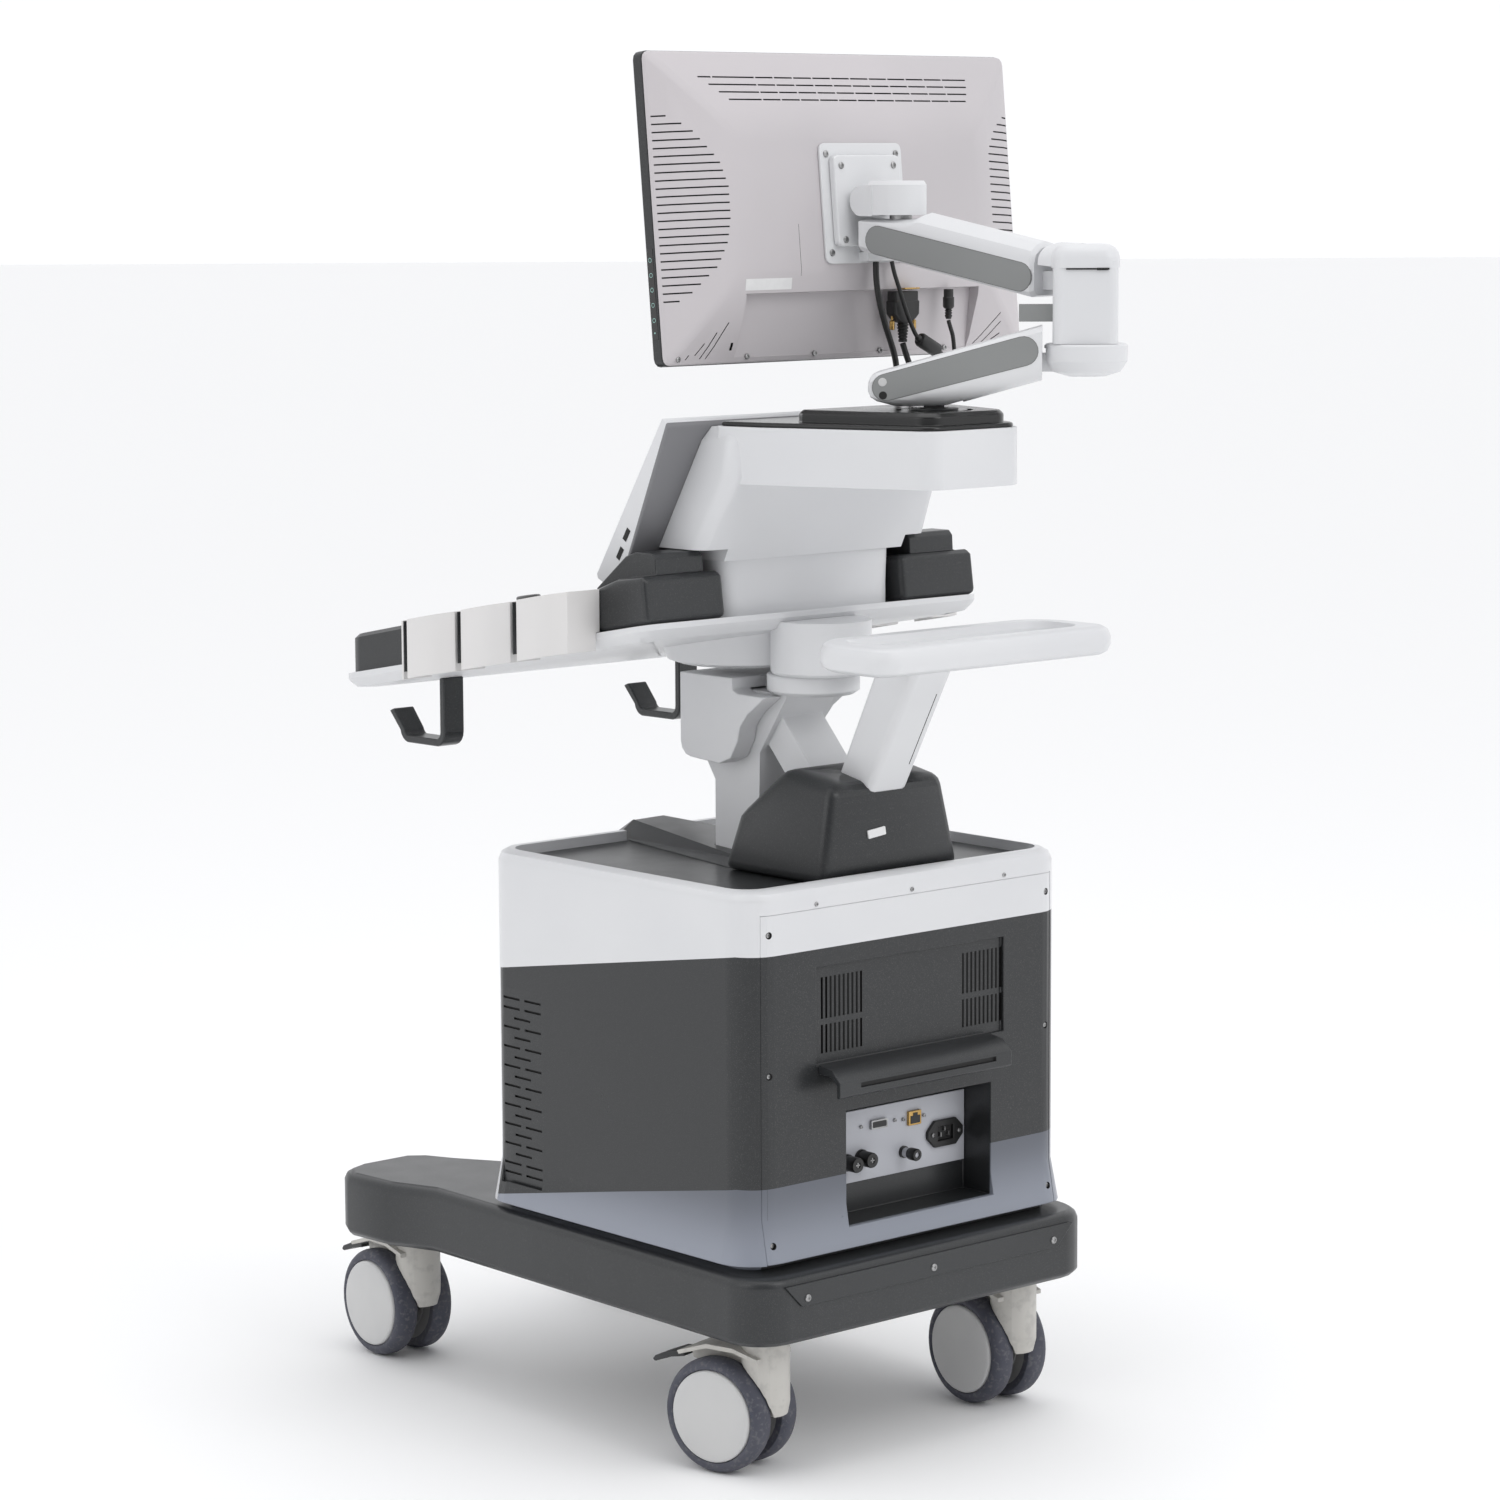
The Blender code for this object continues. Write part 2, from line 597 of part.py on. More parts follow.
def pull_grip():
    """Lip for the fingers under the grille recess."""
    x0, x1, z0, z1 = GRIP
    wall = CABINET_REAR + GAP
    tip = wall + GRIP_REACH
    lip = [(wall, z1), (tip - 0.012, z1 - 0.003), (tip, z1 - 0.014), (tip, z0 + 0.002),
           (tip - 0.002, z0), (tip - 0.005, z0), (tip - 0.006, z1 - 0.017),
           (tip - 0.014, z1 - 0.010), (wall, z1 - 0.009)]
    make_object("pull_grip", prism_x(lip, x0, x1), black_plastic())


def inner_units():
    """The electronics chassis and the power supply that stand in the cabinet."""
    floor = BASE_TOP + GAP
    chassis = make_object("electronics_chassis", box(-0.190, 0.190, -0.085, 0.190,
                                                     floor, floor + 0.300), bright_steel())
    wall = CHASSIS_WALL
    room = box(-0.190 + wall, 0.190 - wall, -0.085 + wall, 0.190 - wall, floor + wall, 0.60)
    combine(chassis, cutter("chassis_room", room), "DIFFERENCE")
    make_object("power_supply", box(-0.085, 0.085, 0.196, 0.258, floor, floor + 0.110),
                bright_steel())


# ---- Tower, handle and column ----------------------------------------------------------


def tower():
    """Black housing on the deck that takes the handle post and the column's strut."""
    foot = DECK_TOP + GAP
    wide = TOWER_HALF_FOOT
    sides = [(0.130, foot, wide), (0.147, 0.645, wide - 0.007), (0.205, 0.697, wide - 0.022),
             (0.277, 0.683, wide - 0.020), (0.283, foot, wide)]
    bm = loft([[(sign * w, y, z) for y, z, w in sides] for sign in (-1, 1)])
    body = make_object("tower_housing", bm, black_plastic())
    soften(body, 0.011, 3, 20.0)
    combine(body, cutter("post_socket", post_body(FIT, 0.02)), "DIFFERENCE")
    combine(body, cutter("strut_socket", strut_body(FIT, 0.02)), "DIFFERENCE")
    wedge()


def wedge():
    """Low ramp on the deck, in front of the tower and around the column's foot."""
    foot = DECK_TOP + GAP
    plan = mirrored([(0.024, -0.130), (0.036, -0.112), (0.084, 0.128)])
    crest = mirrored([(0.016, -0.108), (0.021, -0.100), (0.060, 0.128)])
    height = {-0.108: 0.017, -0.100: 0.019, 0.128: 0.006}
    rings = [[(x, y, foot) for x, y in plan],
             [(x, y, foot + height[y]) for x, y in crest]]
    body = make_object("deck_ramp", loft(rings), black_plastic())
    half = COLUMN_HALF_WIDTH + FIT
    slot = box(-half, half, 0.050 - FIT, 0.20, foot - 0.01, foot + 0.05)
    combine(body, cutter("blade_slot", slot), "DIFFERENCE")
    grown = [[(x * 1.03, y - 0.001, z) for x, y in plan] for z in (foot - GAP, foot + 0.02)]
    notch = cutter("ramp_notch", loft(grown))
    combine(bpy.data.objects["cabinet_shell"], notch, "DIFFERENCE")


def post_body(clearance, reach_down):
    """Handle post: a leaning box that widens upwards."""
    slope = (0.292 - 0.231) / (HANDLE_BOTTOM - 0.690)
    half = POST_HALF_WIDTH + clearance
    rings = []
    for z, front, rear in ((0.690 - reach_down, 0.231, 0.285),
                           (HANDLE_BOTTOM - GAP, 0.292, 0.352)):
        shift = slope * min(0.0, z - 0.690)
        outline = rounded_rect(-half, half, front + shift - clearance,
                               rear + shift + clearance, 0.009 + clearance, 3)
        rings.append([(x, y, z) for x, y in outline])
    return loft(rings)


def handle():
    """Rear push handle: a flat closed loop on a leaning post."""
    make_object("handle_post", post_body(0.0, 0.018), white_plastic())
    half = HANDLE_HALF_WIDTH
    front = arc(half - 0.050, HANDLE_FRONT + 0.050, 0.050, -90, 0, 5)
    rear = arc(half - 0.028, HANDLE_REAR - 0.028, 0.028, 0, 90, 5)
    outline = mirrored(front + rear)
    middle = (HANDLE_BOTTOM + HANDLE_TOP) / 2
    crown = (HANDLE_TOP - HANDLE_BOTTOM) / 2
    rings = []
    for degrees in (-90, -50, -15, 15, 50, 90):
        z = middle + crown * math.sin(math.radians(degrees))
        draw = 0.010 * (1 - math.cos(math.radians(degrees)))
        rings.append([(x, y, z) for x, y in inset(outline, draw)])
    loop = make_object("push_handle", loft(rings), white_plastic())
    hole = rounded_rect(-half + HANDLE_BAR, half - HANDLE_BAR, HANDLE_FRONT + HANDLE_BAR,
                        HANDLE_REAR - HANDLE_BAR, 0.022, 5)
    grow = (((HANDLE_BOTTOM - 0.01), -0.010), (HANDLE_BOTTOM + 0.007, 0.0),
            (HANDLE_TOP - 0.007, 0.0), (HANDLE_TOP + 0.01, -0.010))
    bm = loft([[(x, y, z) for x, y in inset(hole, amount)] for z, amount in grow])
    combine(loop, cutter("handle_hole", bm), "DIFFERENCE")


def strut_body(clearance, reach_down):
    """Rear strut from the swivel flange down into the tower."""
    half = STRUT_HALF_WIDTH + clearance
    low = 0.672 - reach_down
    drop = (0.760 - low) * 0.93
    outline = [(0.078 - clearance, 0.760), (0.078 + drop - clearance, low),
               (0.128 + drop + clearance, low), (0.128 + clearance, 0.760)]
    return prism_x(outline, -half, half)


def column():
    """Cast column: front blade, rear strut and the flange that the console turns on."""
    foot = DECK_TOP + GAP
    blade = [(0.050, foot), (0.118, foot), (0.121, 0.700), (0.165, 0.764),
             (0.033, 0.764), (0.033, 0.690), (0.050, 0.665)]
    body = make_object("column", prism_x(blade, -COLUMN_HALF_WIDTH, COLUMN_HALF_WIDTH),
                       white_plastic())
    combine(body, cutter("strut", strut_body(0.0, 0.0)), "UNION")
    low = FLANGE_TOP - 0.0215
    bm = turned([(0.0, low), (FLANGE_RADIUS - 0.006, low), (FLANGE_RADIUS, low + 0.004),
                 (FLANGE_RADIUS, FLANGE_TOP - 0.002), (FLANGE_RADIUS - 0.002, FLANGE_TOP),
                 (0.0, FLANGE_TOP)], 32, centre=(0.0, SWIVEL_Y))
    combine(body, cutter("flange", bm), "UNION")
    half = SHROUD_HALF_WIDTH
    top = 0.778
    lobe = [(0.024, top), (0.024, 0.706)]
    lobe += [(y, z) for y, z in arc(0.040, 0.706, 0.016, 180, 270, 3)][1:]
    lobe += [(0.085, 0.687), (0.103, 0.694), (0.114, 0.712), (0.118, 0.728),
             (0.130, 0.742), (0.148, 0.755), (0.157, 0.7615), (0.1155, 0.7622), (0.107, 0.766),
             (0.106, top)]
    shroud = make_object("column_shroud", prism_x(lobe, -half, half), white_plastic())
    keep = COLUMN_HALF_WIDTH + FIT
    slot = box(-keep, keep, 0.033 - FIT, 0.30, 0.60, 0.766)
    combine(shroud, cutter("shroud_slot", slot), "DIFFERENCE")


# ---- Console ---------------------------------------------------------------------------


def tray_z(y):
    """Height of the tray's top plane at a depth."""
    return TRAY_FRONT_Z + TRAY_SLOPE * (y - TRAY_FRONT)


def sloped(outline, lift, lean=0.0):
    """Lay an (x, y) outline in the tray's plane, lifted, with an extra rise per metre."""
    return [(x, y, tray_z(y) + lift + lean * (y - TRAY_FRONT)) for x, y in outline]


def circle(y, radius):
    """A circle of points about the console's middle line."""
    return arc(0.0, y, radius, 0, 360, 40)[:-1]


def console_tray():
    """White lower shell of the console with its bowl and neck underneath."""
    half = TRAY_HALF_WIDTH
    outline = mirrored(arc(half - 0.030, TRAY_FRONT + 0.030, 0.030, -90, 0, 4)
                       + arc(half - 0.020, TRAY_REAR - 0.020, 0.020, 0, 90, 4))
    levels = ((0.030, -TRAY_THICKNESS), (0.010, -TRAY_THICKNESS + 0.002),
              (0.003, -TRAY_THICKNESS + 0.008), (0.0, -0.006), (0.0, 0.0))
    rings = [sloped(inset(outline, amount), lift) for amount, lift in levels]
    pivot = (0.0, SWIVEL_Y, FLANGE_TOP)
    tray = make_object("console_tray", loft(rings), white_plastic(), pivot)
    rings = [[(x, y, FLANGE_TOP + lift) for x, y in circle(BOWL_Y, BOWL_RADIUS - draw)]
             for draw, lift in ((0.012, 0.003), (0.0, 0.007))]
    rings += [sloped(circle(BOWL_Y, BOWL_RADIUS + grow), -drop)
              for grow, drop in ((0.004, TRAY_THICKNESS + 0.001), (0.030, 0.010))]
    combine(tray, cutter("bowl", loft(rings)), "UNION")
    neck = [(0.0, FLANGE_TOP + GAP), (NECK_RADIUS - 0.002, FLANGE_TOP + GAP),
            (NECK_RADIUS, FLANGE_TOP + 0.003), (NECK_RADIUS, 0.840), (0.0, 0.840)]
    combine(tray, cutter("neck", turned(neck, 32, centre=(0.0, SWIVEL_Y + 0.012))), "UNION")


def control_panel():
    """Dark top of the console with a trackball, a knob and keys."""
    half = PANEL_HALF_WIDTH
    pivot = (0.0, SWIVEL_Y, FLANGE_TOP)
    outline = mirrored(arc(half - 0.028, TRAY_FRONT + 0.034, 0.028, -90, 0, 4)
                       + [(half, PANEL_REAR)])
    levels = ((0.0, GAP, 0.0), (0.0, PANEL_FRONT_HEIGHT - 0.004, 0.012),
              (0.005, PANEL_FRONT_HEIGHT, 0.012))
    rings = [sloped(inset(outline, amount), lift, lean) for amount, lift, lean in levels]
    panel = make_object("control_panel", loft(rings), black_plastic(), pivot)
    hollow = [sloped(inset(outline, 0.006), lift) for lift in (-0.01, PANEL_FRONT_HEIGHT - 0.008)]
    combine(panel, cutter("panel_room", loft(hollow)), "DIFFERENCE")
    controls(panel)


def surface_z(y):
    """Height of the control panel's top at a depth."""
    return tray_z(y) + PANEL_FRONT_HEIGHT + 0.012 * (y - TRAY_FRONT)


def controls(panel):
    """Trackball, gain knob, and a row of keys, each seated in the panel."""
    lean = Matrix.Rotation(math.atan(TRAY_SLOPE + 0.012), 3, "X")
    ball = (0.0, -0.200)
    radius = 0.019
    centre = Vector((*ball, surface_z(ball[1]) - 0.006))
    bm = bmesh.new()
    bmesh.ops.create_uvsphere(bm, u_segments=20, v_segments=12, radius=radius)
    make_object("trackball", bm, bright_steel(), centre, lean)
    cup = bmesh.new()
    bmesh.ops.create_uvsphere(cup, u_segments=20, v_segments=12, radius=radius + 0.0012)
    combine(panel, cutter("ball_cup", cup), "DIFFERENCE")
    bpy.data.objects["ball_cup"].location = centre
    seats = (("gain_knob", 0.120, -0.150, 0.013, 0.014, 0.0),
             ("freeze_key", 0.090, -0.215, 0.011, 0.005, 0.003))
    for name, x, y, radius, height, travel in seats:
        seat = Vector((x, y, surface_z(y)))
        well = 0.004 + travel
        bm = turned([(0.0, -0.003), (radius, -0.003), (radius, height - 0.001),
                     (radius - 0.001, height), (0.0, height)], 20)
        make_object(name, bm, insert_grey(), seat, lean)
        pit = turned([(0.0, -well), (radius + FIT, -well), (radius + FIT, 0.02), (0.0, 0.02)], 20)
        hole = cutter(f"{name}_well", pit)
        hole.location = seat
        hole.rotation_euler = lean.to_euler()
        combine(panel, hole, "DIFFERENCE")
    keys = box(-0.105, 0.105, -0.075, 0.0, -0.003, 0.007)
    block = cutter("key_rows", keys)
    block.location = (0.0, 0.008, surface_z(0.008))
    block.rotation_euler = lean.to_euler()
    combine(panel, block, "UNION")


def side_cover(side):
    """Black cover on a rear corner of the console, with a raised hump."""
    floor = tray_z(0.062) + GAP
    rear = COVER_REAR_Y
    outline = [(0.062, floor), (rear, tray_z(rear) + GAP), (rear - 0.006, 0.893),
               (rear - 0.012, 0.897), (0.122, 0.892), (0.070, 0.873), (0.0620, 0.866)]
    inner, outer = COVER_INNER_X, COVER_OUTER_X
    name = "right" if side > 0 else "left"
    pivot = (0.0, SWIVEL_Y, FLANGE_TOP)
    body = make_object(f"side_cover_{name}", prism_x(outline, side * inner, side * outer),
                       black_plastic(), pivot)
    soften(body, 0.006, 2, 50.0)
    hump = [(0.066, 0.868), (0.160, 0.880), (0.158, 0.913), (0.153, 0.918), (0.128, 0.918),
            (0.112, 0.913), (0.066, 0.878)]
    block = prism_x(hump, side * (inner + 0.020), side * (outer - 0.022))
    combine(body, cutter(f"hump_{name}", block), "UNION")
    wide = DISPLAY_HALF_WIDTH + FIT
    shape = prism_x(display_profile(FIT), -wide, wide)
    combine(body, cutter(f"display_room_{name}", shape), "DIFFERENCE")


def probe_holder(side):
    """Three probe cups in one moulding, open on their front corner for the lead."""
    inner = PANEL_HALF_WIDTH + GAP
    plate = inner + CUP_WALL
    reach = inner + CUP_REACH
    tip = reach - 0.013
    outline = [(inner, CUP_START), (inner, CUP_START + CUP_COUNT * CUP_PITCH)]
    for i in reversed(range(CUP_COUNT)):
        front = CUP_START + i * CUP_PITCH
        rear = front + CUP_PITCH
        outline += [(tip, rear), (reach - 0.002, rear - 0.016), (reach, rear - 0.038),
                    (reach - 0.002, front + 0.026), (reach - 0.006, front + 0.019),
                    (reach - 0.006 - CUP_WALL, front + 0.021),
                    (reach - CUP_WALL - 0.002, front + 0.028),
                    (reach - CUP_WALL, rear - 0.038),
                    (reach - CUP_WALL - 0.003, rear - 0.018), (tip - 0.004, rear - CUP_WALL),
                    (plate, rear - CUP_WALL), (plate, front + CUP_WALL)]
    outline += [(tip, CUP_START + CUP_WALL), (tip, CUP_START)]
    outline = [(side * x, y) for x, y in outline]
    rings = [sloped(outline, lift) for lift in (-0.018, CUP_HEIGHT - 0.018)]
    name = "right" if side > 0 else "left"
    pivot = (0.0, SWIVEL_Y, FLANGE_TOP)
    body = make_object(f"probe_holder_{name}", loft(rings), white_plastic(), pivot)
    edge = TRAY_HALF_WIDTH + FIT
    rings = [sloped([(0.0, -0.36), (side * edge, -0.36), (side * edge, 0.19), (0.0, 0.19)], lift)
             for lift in (-0.04, FIT)]
    combine(body, cutter(f"tray_room_{name}", loft(rings)), "DIFFERENCE")
    room = box(side * 0.10, side * (COVER_OUTER_X + FIT), PANEL_REAR - FIT, 0.19, 0.76, 0.95)
    combine(body, cutter(f"cover_room_{name}", room), "DIFFERENCE")


def hook(side):
    """J hook for leads, screwed under the tray."""
    top = tray_z(-0.230) - TRAY_THICKNESS - GAP
    rear = -0.226
    thick = HOOK_THICKNESS
    outer = [(rear, top), (rear, 0.706)]
    outer += arc(rear - 0.016, 0.700, 0.016, 0, -80, 4)
    outer += arc(-0.290, 0.699, 0.0155, -100, -170, 4)
    outer += [(-0.324, 0.716)]
    inner = [(-0.316, 0.719)]
    inner += arc(-0.290, 0.699, 0.0155 - thick, -170, -100, 4)
    inner += arc(rear - 0.016, 0.700, 0.016 - thick, -80, 0, 4)
    inner += [(rear - thick, 0.706), (rear - thick, tray_z(rear - thick) - TRAY_THICKNESS - GAP)]
    half = HOOK_WIDTH / 2
    name = "right" if side > 0 else "left"
    pivot = (0.0, SWIVEL_Y, FLANGE_TOP)
    make_object(f"lead_hook_{name}", prism_x(outer + inner, side * HOOK_X - half,
                                             side * HOOK_X + half), black_plastic(), pivot)


def display_profile(grow):
    """Side outline of the touch display: thick at its foot, thin at the top."""
    foot = 0.0985
    return [(PANEL_REAR + 2 * GAP - grow, tray_z(PANEL_REAR) + GAP - grow),
            (foot + grow, tray_z(foot) + GAP - grow), (foot + grow, 0.905),
            (DISPLAY_REAR[0][0] + grow, DISPLAY_REAR[0][1]),
            (DISPLAY_REAR[1][0] + grow, DISPLAY_REAR[1][1]), (0.161, 1.050 + grow),
            (DISPLAY_FRONT[1][0], DISPLAY_FRONT[1][1] + grow),
            (DISPLAY_FRONT[0][0] - grow, DISPLAY_FRONT[0][1]),
            (DISPLAY_FRONT[0][0] + 0.001 - grow, 0.886), (PANEL_REAR + 2 * GAP - grow, 0.883)]


def touch_display():
    """Leaning touch display: a white shell with a glass front."""
    half = DISPLAY_HALF_WIDTH
    pivot = (0.0, SWIVEL_Y, FLANGE_TOP)
    body = make_object("touch_shell", prism_x(display_profile(0.0), -half, half),
                       white_plastic(), pivot)
    low, high = (Vector((0.0, y, z)) for y, z in DISPLAY_FRONT)
    up = (high - low).normalized()
    out = Vector((0.0, -up.z, up.y))
    length = (high - low).length
    margin = 0.012
    depth = 0.003

    def pane(grow, front, back):
        inner = half - margin + grow
        corners = [(margin - grow, front), (length - margin + grow, front),
                   (length - margin + grow, back), (margin - grow, back)]
        points = [low + up * a + out * b for a, b in corners]
        return prism_x([(p.y, p.z) for p in points], -inner, inner)

    combine(body, cutter("glass_seat", pane(FIT, 0.01, -depth)), "DIFFERENCE")
    make_object("touch_glass", pane(0.0, -0.0004, GAP - depth), screen_glass(), pivot)


def overhang_outline(amount):
    """Plan of the rear shelf: as wide as the housing in front, narrow at the rear."""
    wide = HOUSING_HALF_WIDTH
    narrow = OVERHANG_REAR_HALF_WIDTH
    half = [(wide - 0.006, 0.172), (wide, 0.180), (wide - 0.010, 0.230)]
    half += arc(narrow - 0.026, OVERHANG_REAR - 0.034, 0.028, 18, 82, 5)
    return inset(mirrored(half), amount)


def rear_housing():
    """White rear housing of the console, with the shelf that carries the monitor arm."""
    pivot = (0.0, SWIVEL_Y, FLANGE_TOP)
    rings = []
    for z, half, rear in ((0.906, 0.158, 0.167), (0.920, 0.157, 0.174), (0.992, 0.147, 0.210),
                          (1.028, 0.142, 0.210), (HOUSING_TOP - 0.001, 0.134, 0.210)):
        front = display_rear_y(z) + GAP
        corner = arc(half - 0.020, rear - 0.020, 0.020, 0, 90, 3)
        rings.append([(x, y, z) for x, y in mirrored([(half, front)] + corner)])
    body = make_object("rear_housing", loft(rings), white_plastic(), pivot)
    shelf = prism_z(overhang_outline(0.0), OVERHANG_BOTTOM, HOUSING_TOP)
    combine(body, cutter("shelf", shelf), "UNION")
    half = HOUSING_NECK_HALF_WIDTH
    plan = rounded_rect(-half, half, 0.0988, 0.160, 0.020, 3)
    rings = [sloped(plan, GAP), sloped(plan, 0.025),
             [(x, y, 0.912) for x, y in rounded_rect(-half, half, 0.1145, 0.162, 0.020, 3)]]
    combine(body, cutter("housing_neck", loft(rings)), "UNION")
    for side in (-1, 1):
        room = box(side * (COVER_INNER_X - FIT), side * 0.25, 0.05, 0.20, 0.85, 0.9187)
        combine(body, cutter(f"housing_corner_{side}", room), "DIFFERENCE")


def display_rear_y(z):
    """Depth of the touch display's rear face at a height."""
    (y0, z0), (y1, z1) = DISPLAY_REAR
    return y0 + (y1 - y0) * (z - z0) / (z1 - z0) if z < z1 else y1


def shelf_plates():
    """Black plate on the shelf and the raised plinth under the monitor arm."""
    pivot = (0.0, SWIVEL_Y, FLANGE_TOP)
    low = HOUSING_TOP + GAP
    levels = ((0.004, low), (0.004, low + 0.003), (0.006, low + 0.0045))
    rings = [[(x, y, z) for x, y in overhang_outline(amount)] for amount, z in levels]
    plate = make_object("shelf_plate", loft(rings), black_plastic(), pivot)
    narrow = OVERHANG_REAR_HALF_WIDTH
    half = [(narrow + 0.020, 0.242), (narrow + 0.026, 0.254)]
    half += arc(narrow - 0.034, OVERHANG_REAR - 0.042, 0.026, 18, 82, 5)
    outline = mirrored(half)
    levels = ((0.0, low + 0.002), (0.0, PLINTH_TOP - 0.004), (0.004, PLINTH_TOP))
    rings = [[(x, y, z) for x, y in inset(outline, amount)] for amount, z in levels]
    combine(plate, cutter("plinth", loft(rings)), "UNION")


# ---- Monitor arm -----------------------------------------------------------------------


def arm_axes(start, end):
    """Plan direction from one joint to the next, and the level direction across it."""
    along = Vector((end[0] - start[0], end[1] - start[1], 0.0)).normalized()
    return along, Vector((along.y, -along.x, 0.0))


def at_joint(point, axes, a, b, z):
    """Position at a along and b across an arm from one of its joints, at height z."""
    along, across = axes
    return tuple(Vector((point[0], point[1], z)) + along * a + across * b)


def slab(point, axes, outline, low, high):
    """Extrude an (along, z) outline across an arm."""
    return loft([[at_joint(point, axes, a, b, z) for a, z in outline] for b in (low, high)])


def casing(name, point, axes, stations, pivot, crown):
    """Arm casing: flat sides, and a rounded crown on top (1) or underneath (-1).

    Each station gives the distance, the flat edge, the side's other edge and the crown.
    """
    rings = []
    for distance, flat, edge, peak, half in stations:
        shape = [(-half, flat + crown * 0.005), (-half + 0.005, flat), (half - 0.005, flat),
                 (half, flat + crown * 0.005)]
        for degrees in range(0, 181, 30):
            turn = math.radians(degrees)
            shape.append((half * math.cos(turn), edge + (peak - edge) * math.sin(turn)))
        rings.append([at_joint(point, axes, distance, b, z) for b, z in shape])
    return make_object(name, loft(rings), white_plastic(), pivot)


def eye(height, radius=0.010, back=0.0):
    """Outline of an arm's end eye, reaching back to the casing."""
    return ([(back, height - radius)] + arc(0.0, height, radius, -90, 90, 6)
            + [(back, height + radius)])


def cross_bore(point, axes, height, radius, half):
    """A round bore, or pin, along an arm's hinge axis."""
    outline = arc(0.0, height, radius, 0, 360, 16)[:-1]
    return slab(point, axes, outline, -half, half)


def monitor_arm():
    """Pedestal bracket, two level-keeping arm segments and the elbow between them."""
    px, py = PEDESTAL
    bottom = PLINTH_TOP + GAP
    top = bottom + 0.0022
    stem = turned([(0.0, bottom), (0.024, bottom), (0.024, bottom + 0.0015),
                   (0.0145, bottom + 0.0017), (0.0145, top), (0.0, top)], 24, centre=PEDESTAL)
    bracket = make_object("arm_bracket", stem, black_plastic(), (px, py, bottom))
    axes = arm_axes(PEDESTAL, ELBOW)
    low = PLINTH_TOP + 0.001
    tongue = slab(PEDESTAL, axes, [(-0.010, low), (0.010, low), (0.010, LOWER_PIVOT_Z)]
                  + arc(0.0, LOWER_PIVOT_Z, 0.010, 0, 180, 8)[1:], -EYE_HALF_WIDTH, EYE_HALF_WIDTH)
    combine(bracket, cutter("bracket_tongue", tongue), "UNION")
    bore = cross_bore(PEDESTAL, axes, LOWER_PIVOT_Z, PIN_RADIUS + FIT, 0.05)
    combine(bracket, cutter("bracket_bore", bore), "DIFFERENCE")
    lower_arm(axes)
    elbow(axes)
    upper_arm()


def lower_arm(axes):
    """Lower arm segment, flat on top and rounded underneath."""
    pivot = (*PEDESTAL, LOWER_PIVOT_Z)
    run = (Vector(ELBOW) - Vector(PEDESTAL)).length
    centre = LOWER_PIVOT_Z
    end = run - ELBOW_RADIUS - 0.002
    tail = centre + ARM_SLOPE * end
    stations = ((-0.0645, centre + 0.000, centre - 0.008, centre - 0.009, 0.021),
                (-0.0620, centre + 0.0060, centre - 0.013, centre - 0.0150, 0.025),
                (-0.0560, centre + 0.0098, centre - 0.0155, centre - 0.0190, 0.0265),
                (-0.0400, centre + 0.0140, centre - 0.0155, centre - 0.0235, 0.027),
                (-0.0150, centre + 0.0210, centre - 0.0095, centre - 0.0250, 0.027),
                (0.0120, centre + 0.0285, centre - 0.0060, centre - 0.0245, 0.027),
                (end, tail + 0.0250, tail - 0.0085, tail - 0.0290, 0.027))
    body = casing("lower_arm", PEDESTAL, axes, stations, pivot, -1)
    room = [(-0.034, 1.03), (0.034, 1.03), (0.024, centre + 0.013), (-0.024, centre + 0.008)]
    half = EYE_HALF_WIDTH + 0.0007
    combine(body, cutter("lower_arm_room", slab(PEDESTAL, axes, room, -half, half)), "DIFFERENCE")
    pin = cross_bore(PEDESTAL, axes, centre, PIN_RADIUS, half + 0.003)
    combine(body, cutter("pedestal_pin", pin), "UNION")
    outline = eye(ELBOW_LOW_PIVOT_Z, 0.009, -0.052)
    tongue = slab(ELBOW, axes, outline, -EYE_HALF_WIDTH, EYE_HALF_WIDTH)
    combine(body, cutter("lower_arm_eye", tongue), "UNION")
    bore = cross_bore(ELBOW, axes, ELBOW_LOW_PIVOT_Z, PIN_RADIUS + FIT, 0.05)
    combine(body, cutter("lower_arm_bore", bore), "DIFFERENCE")


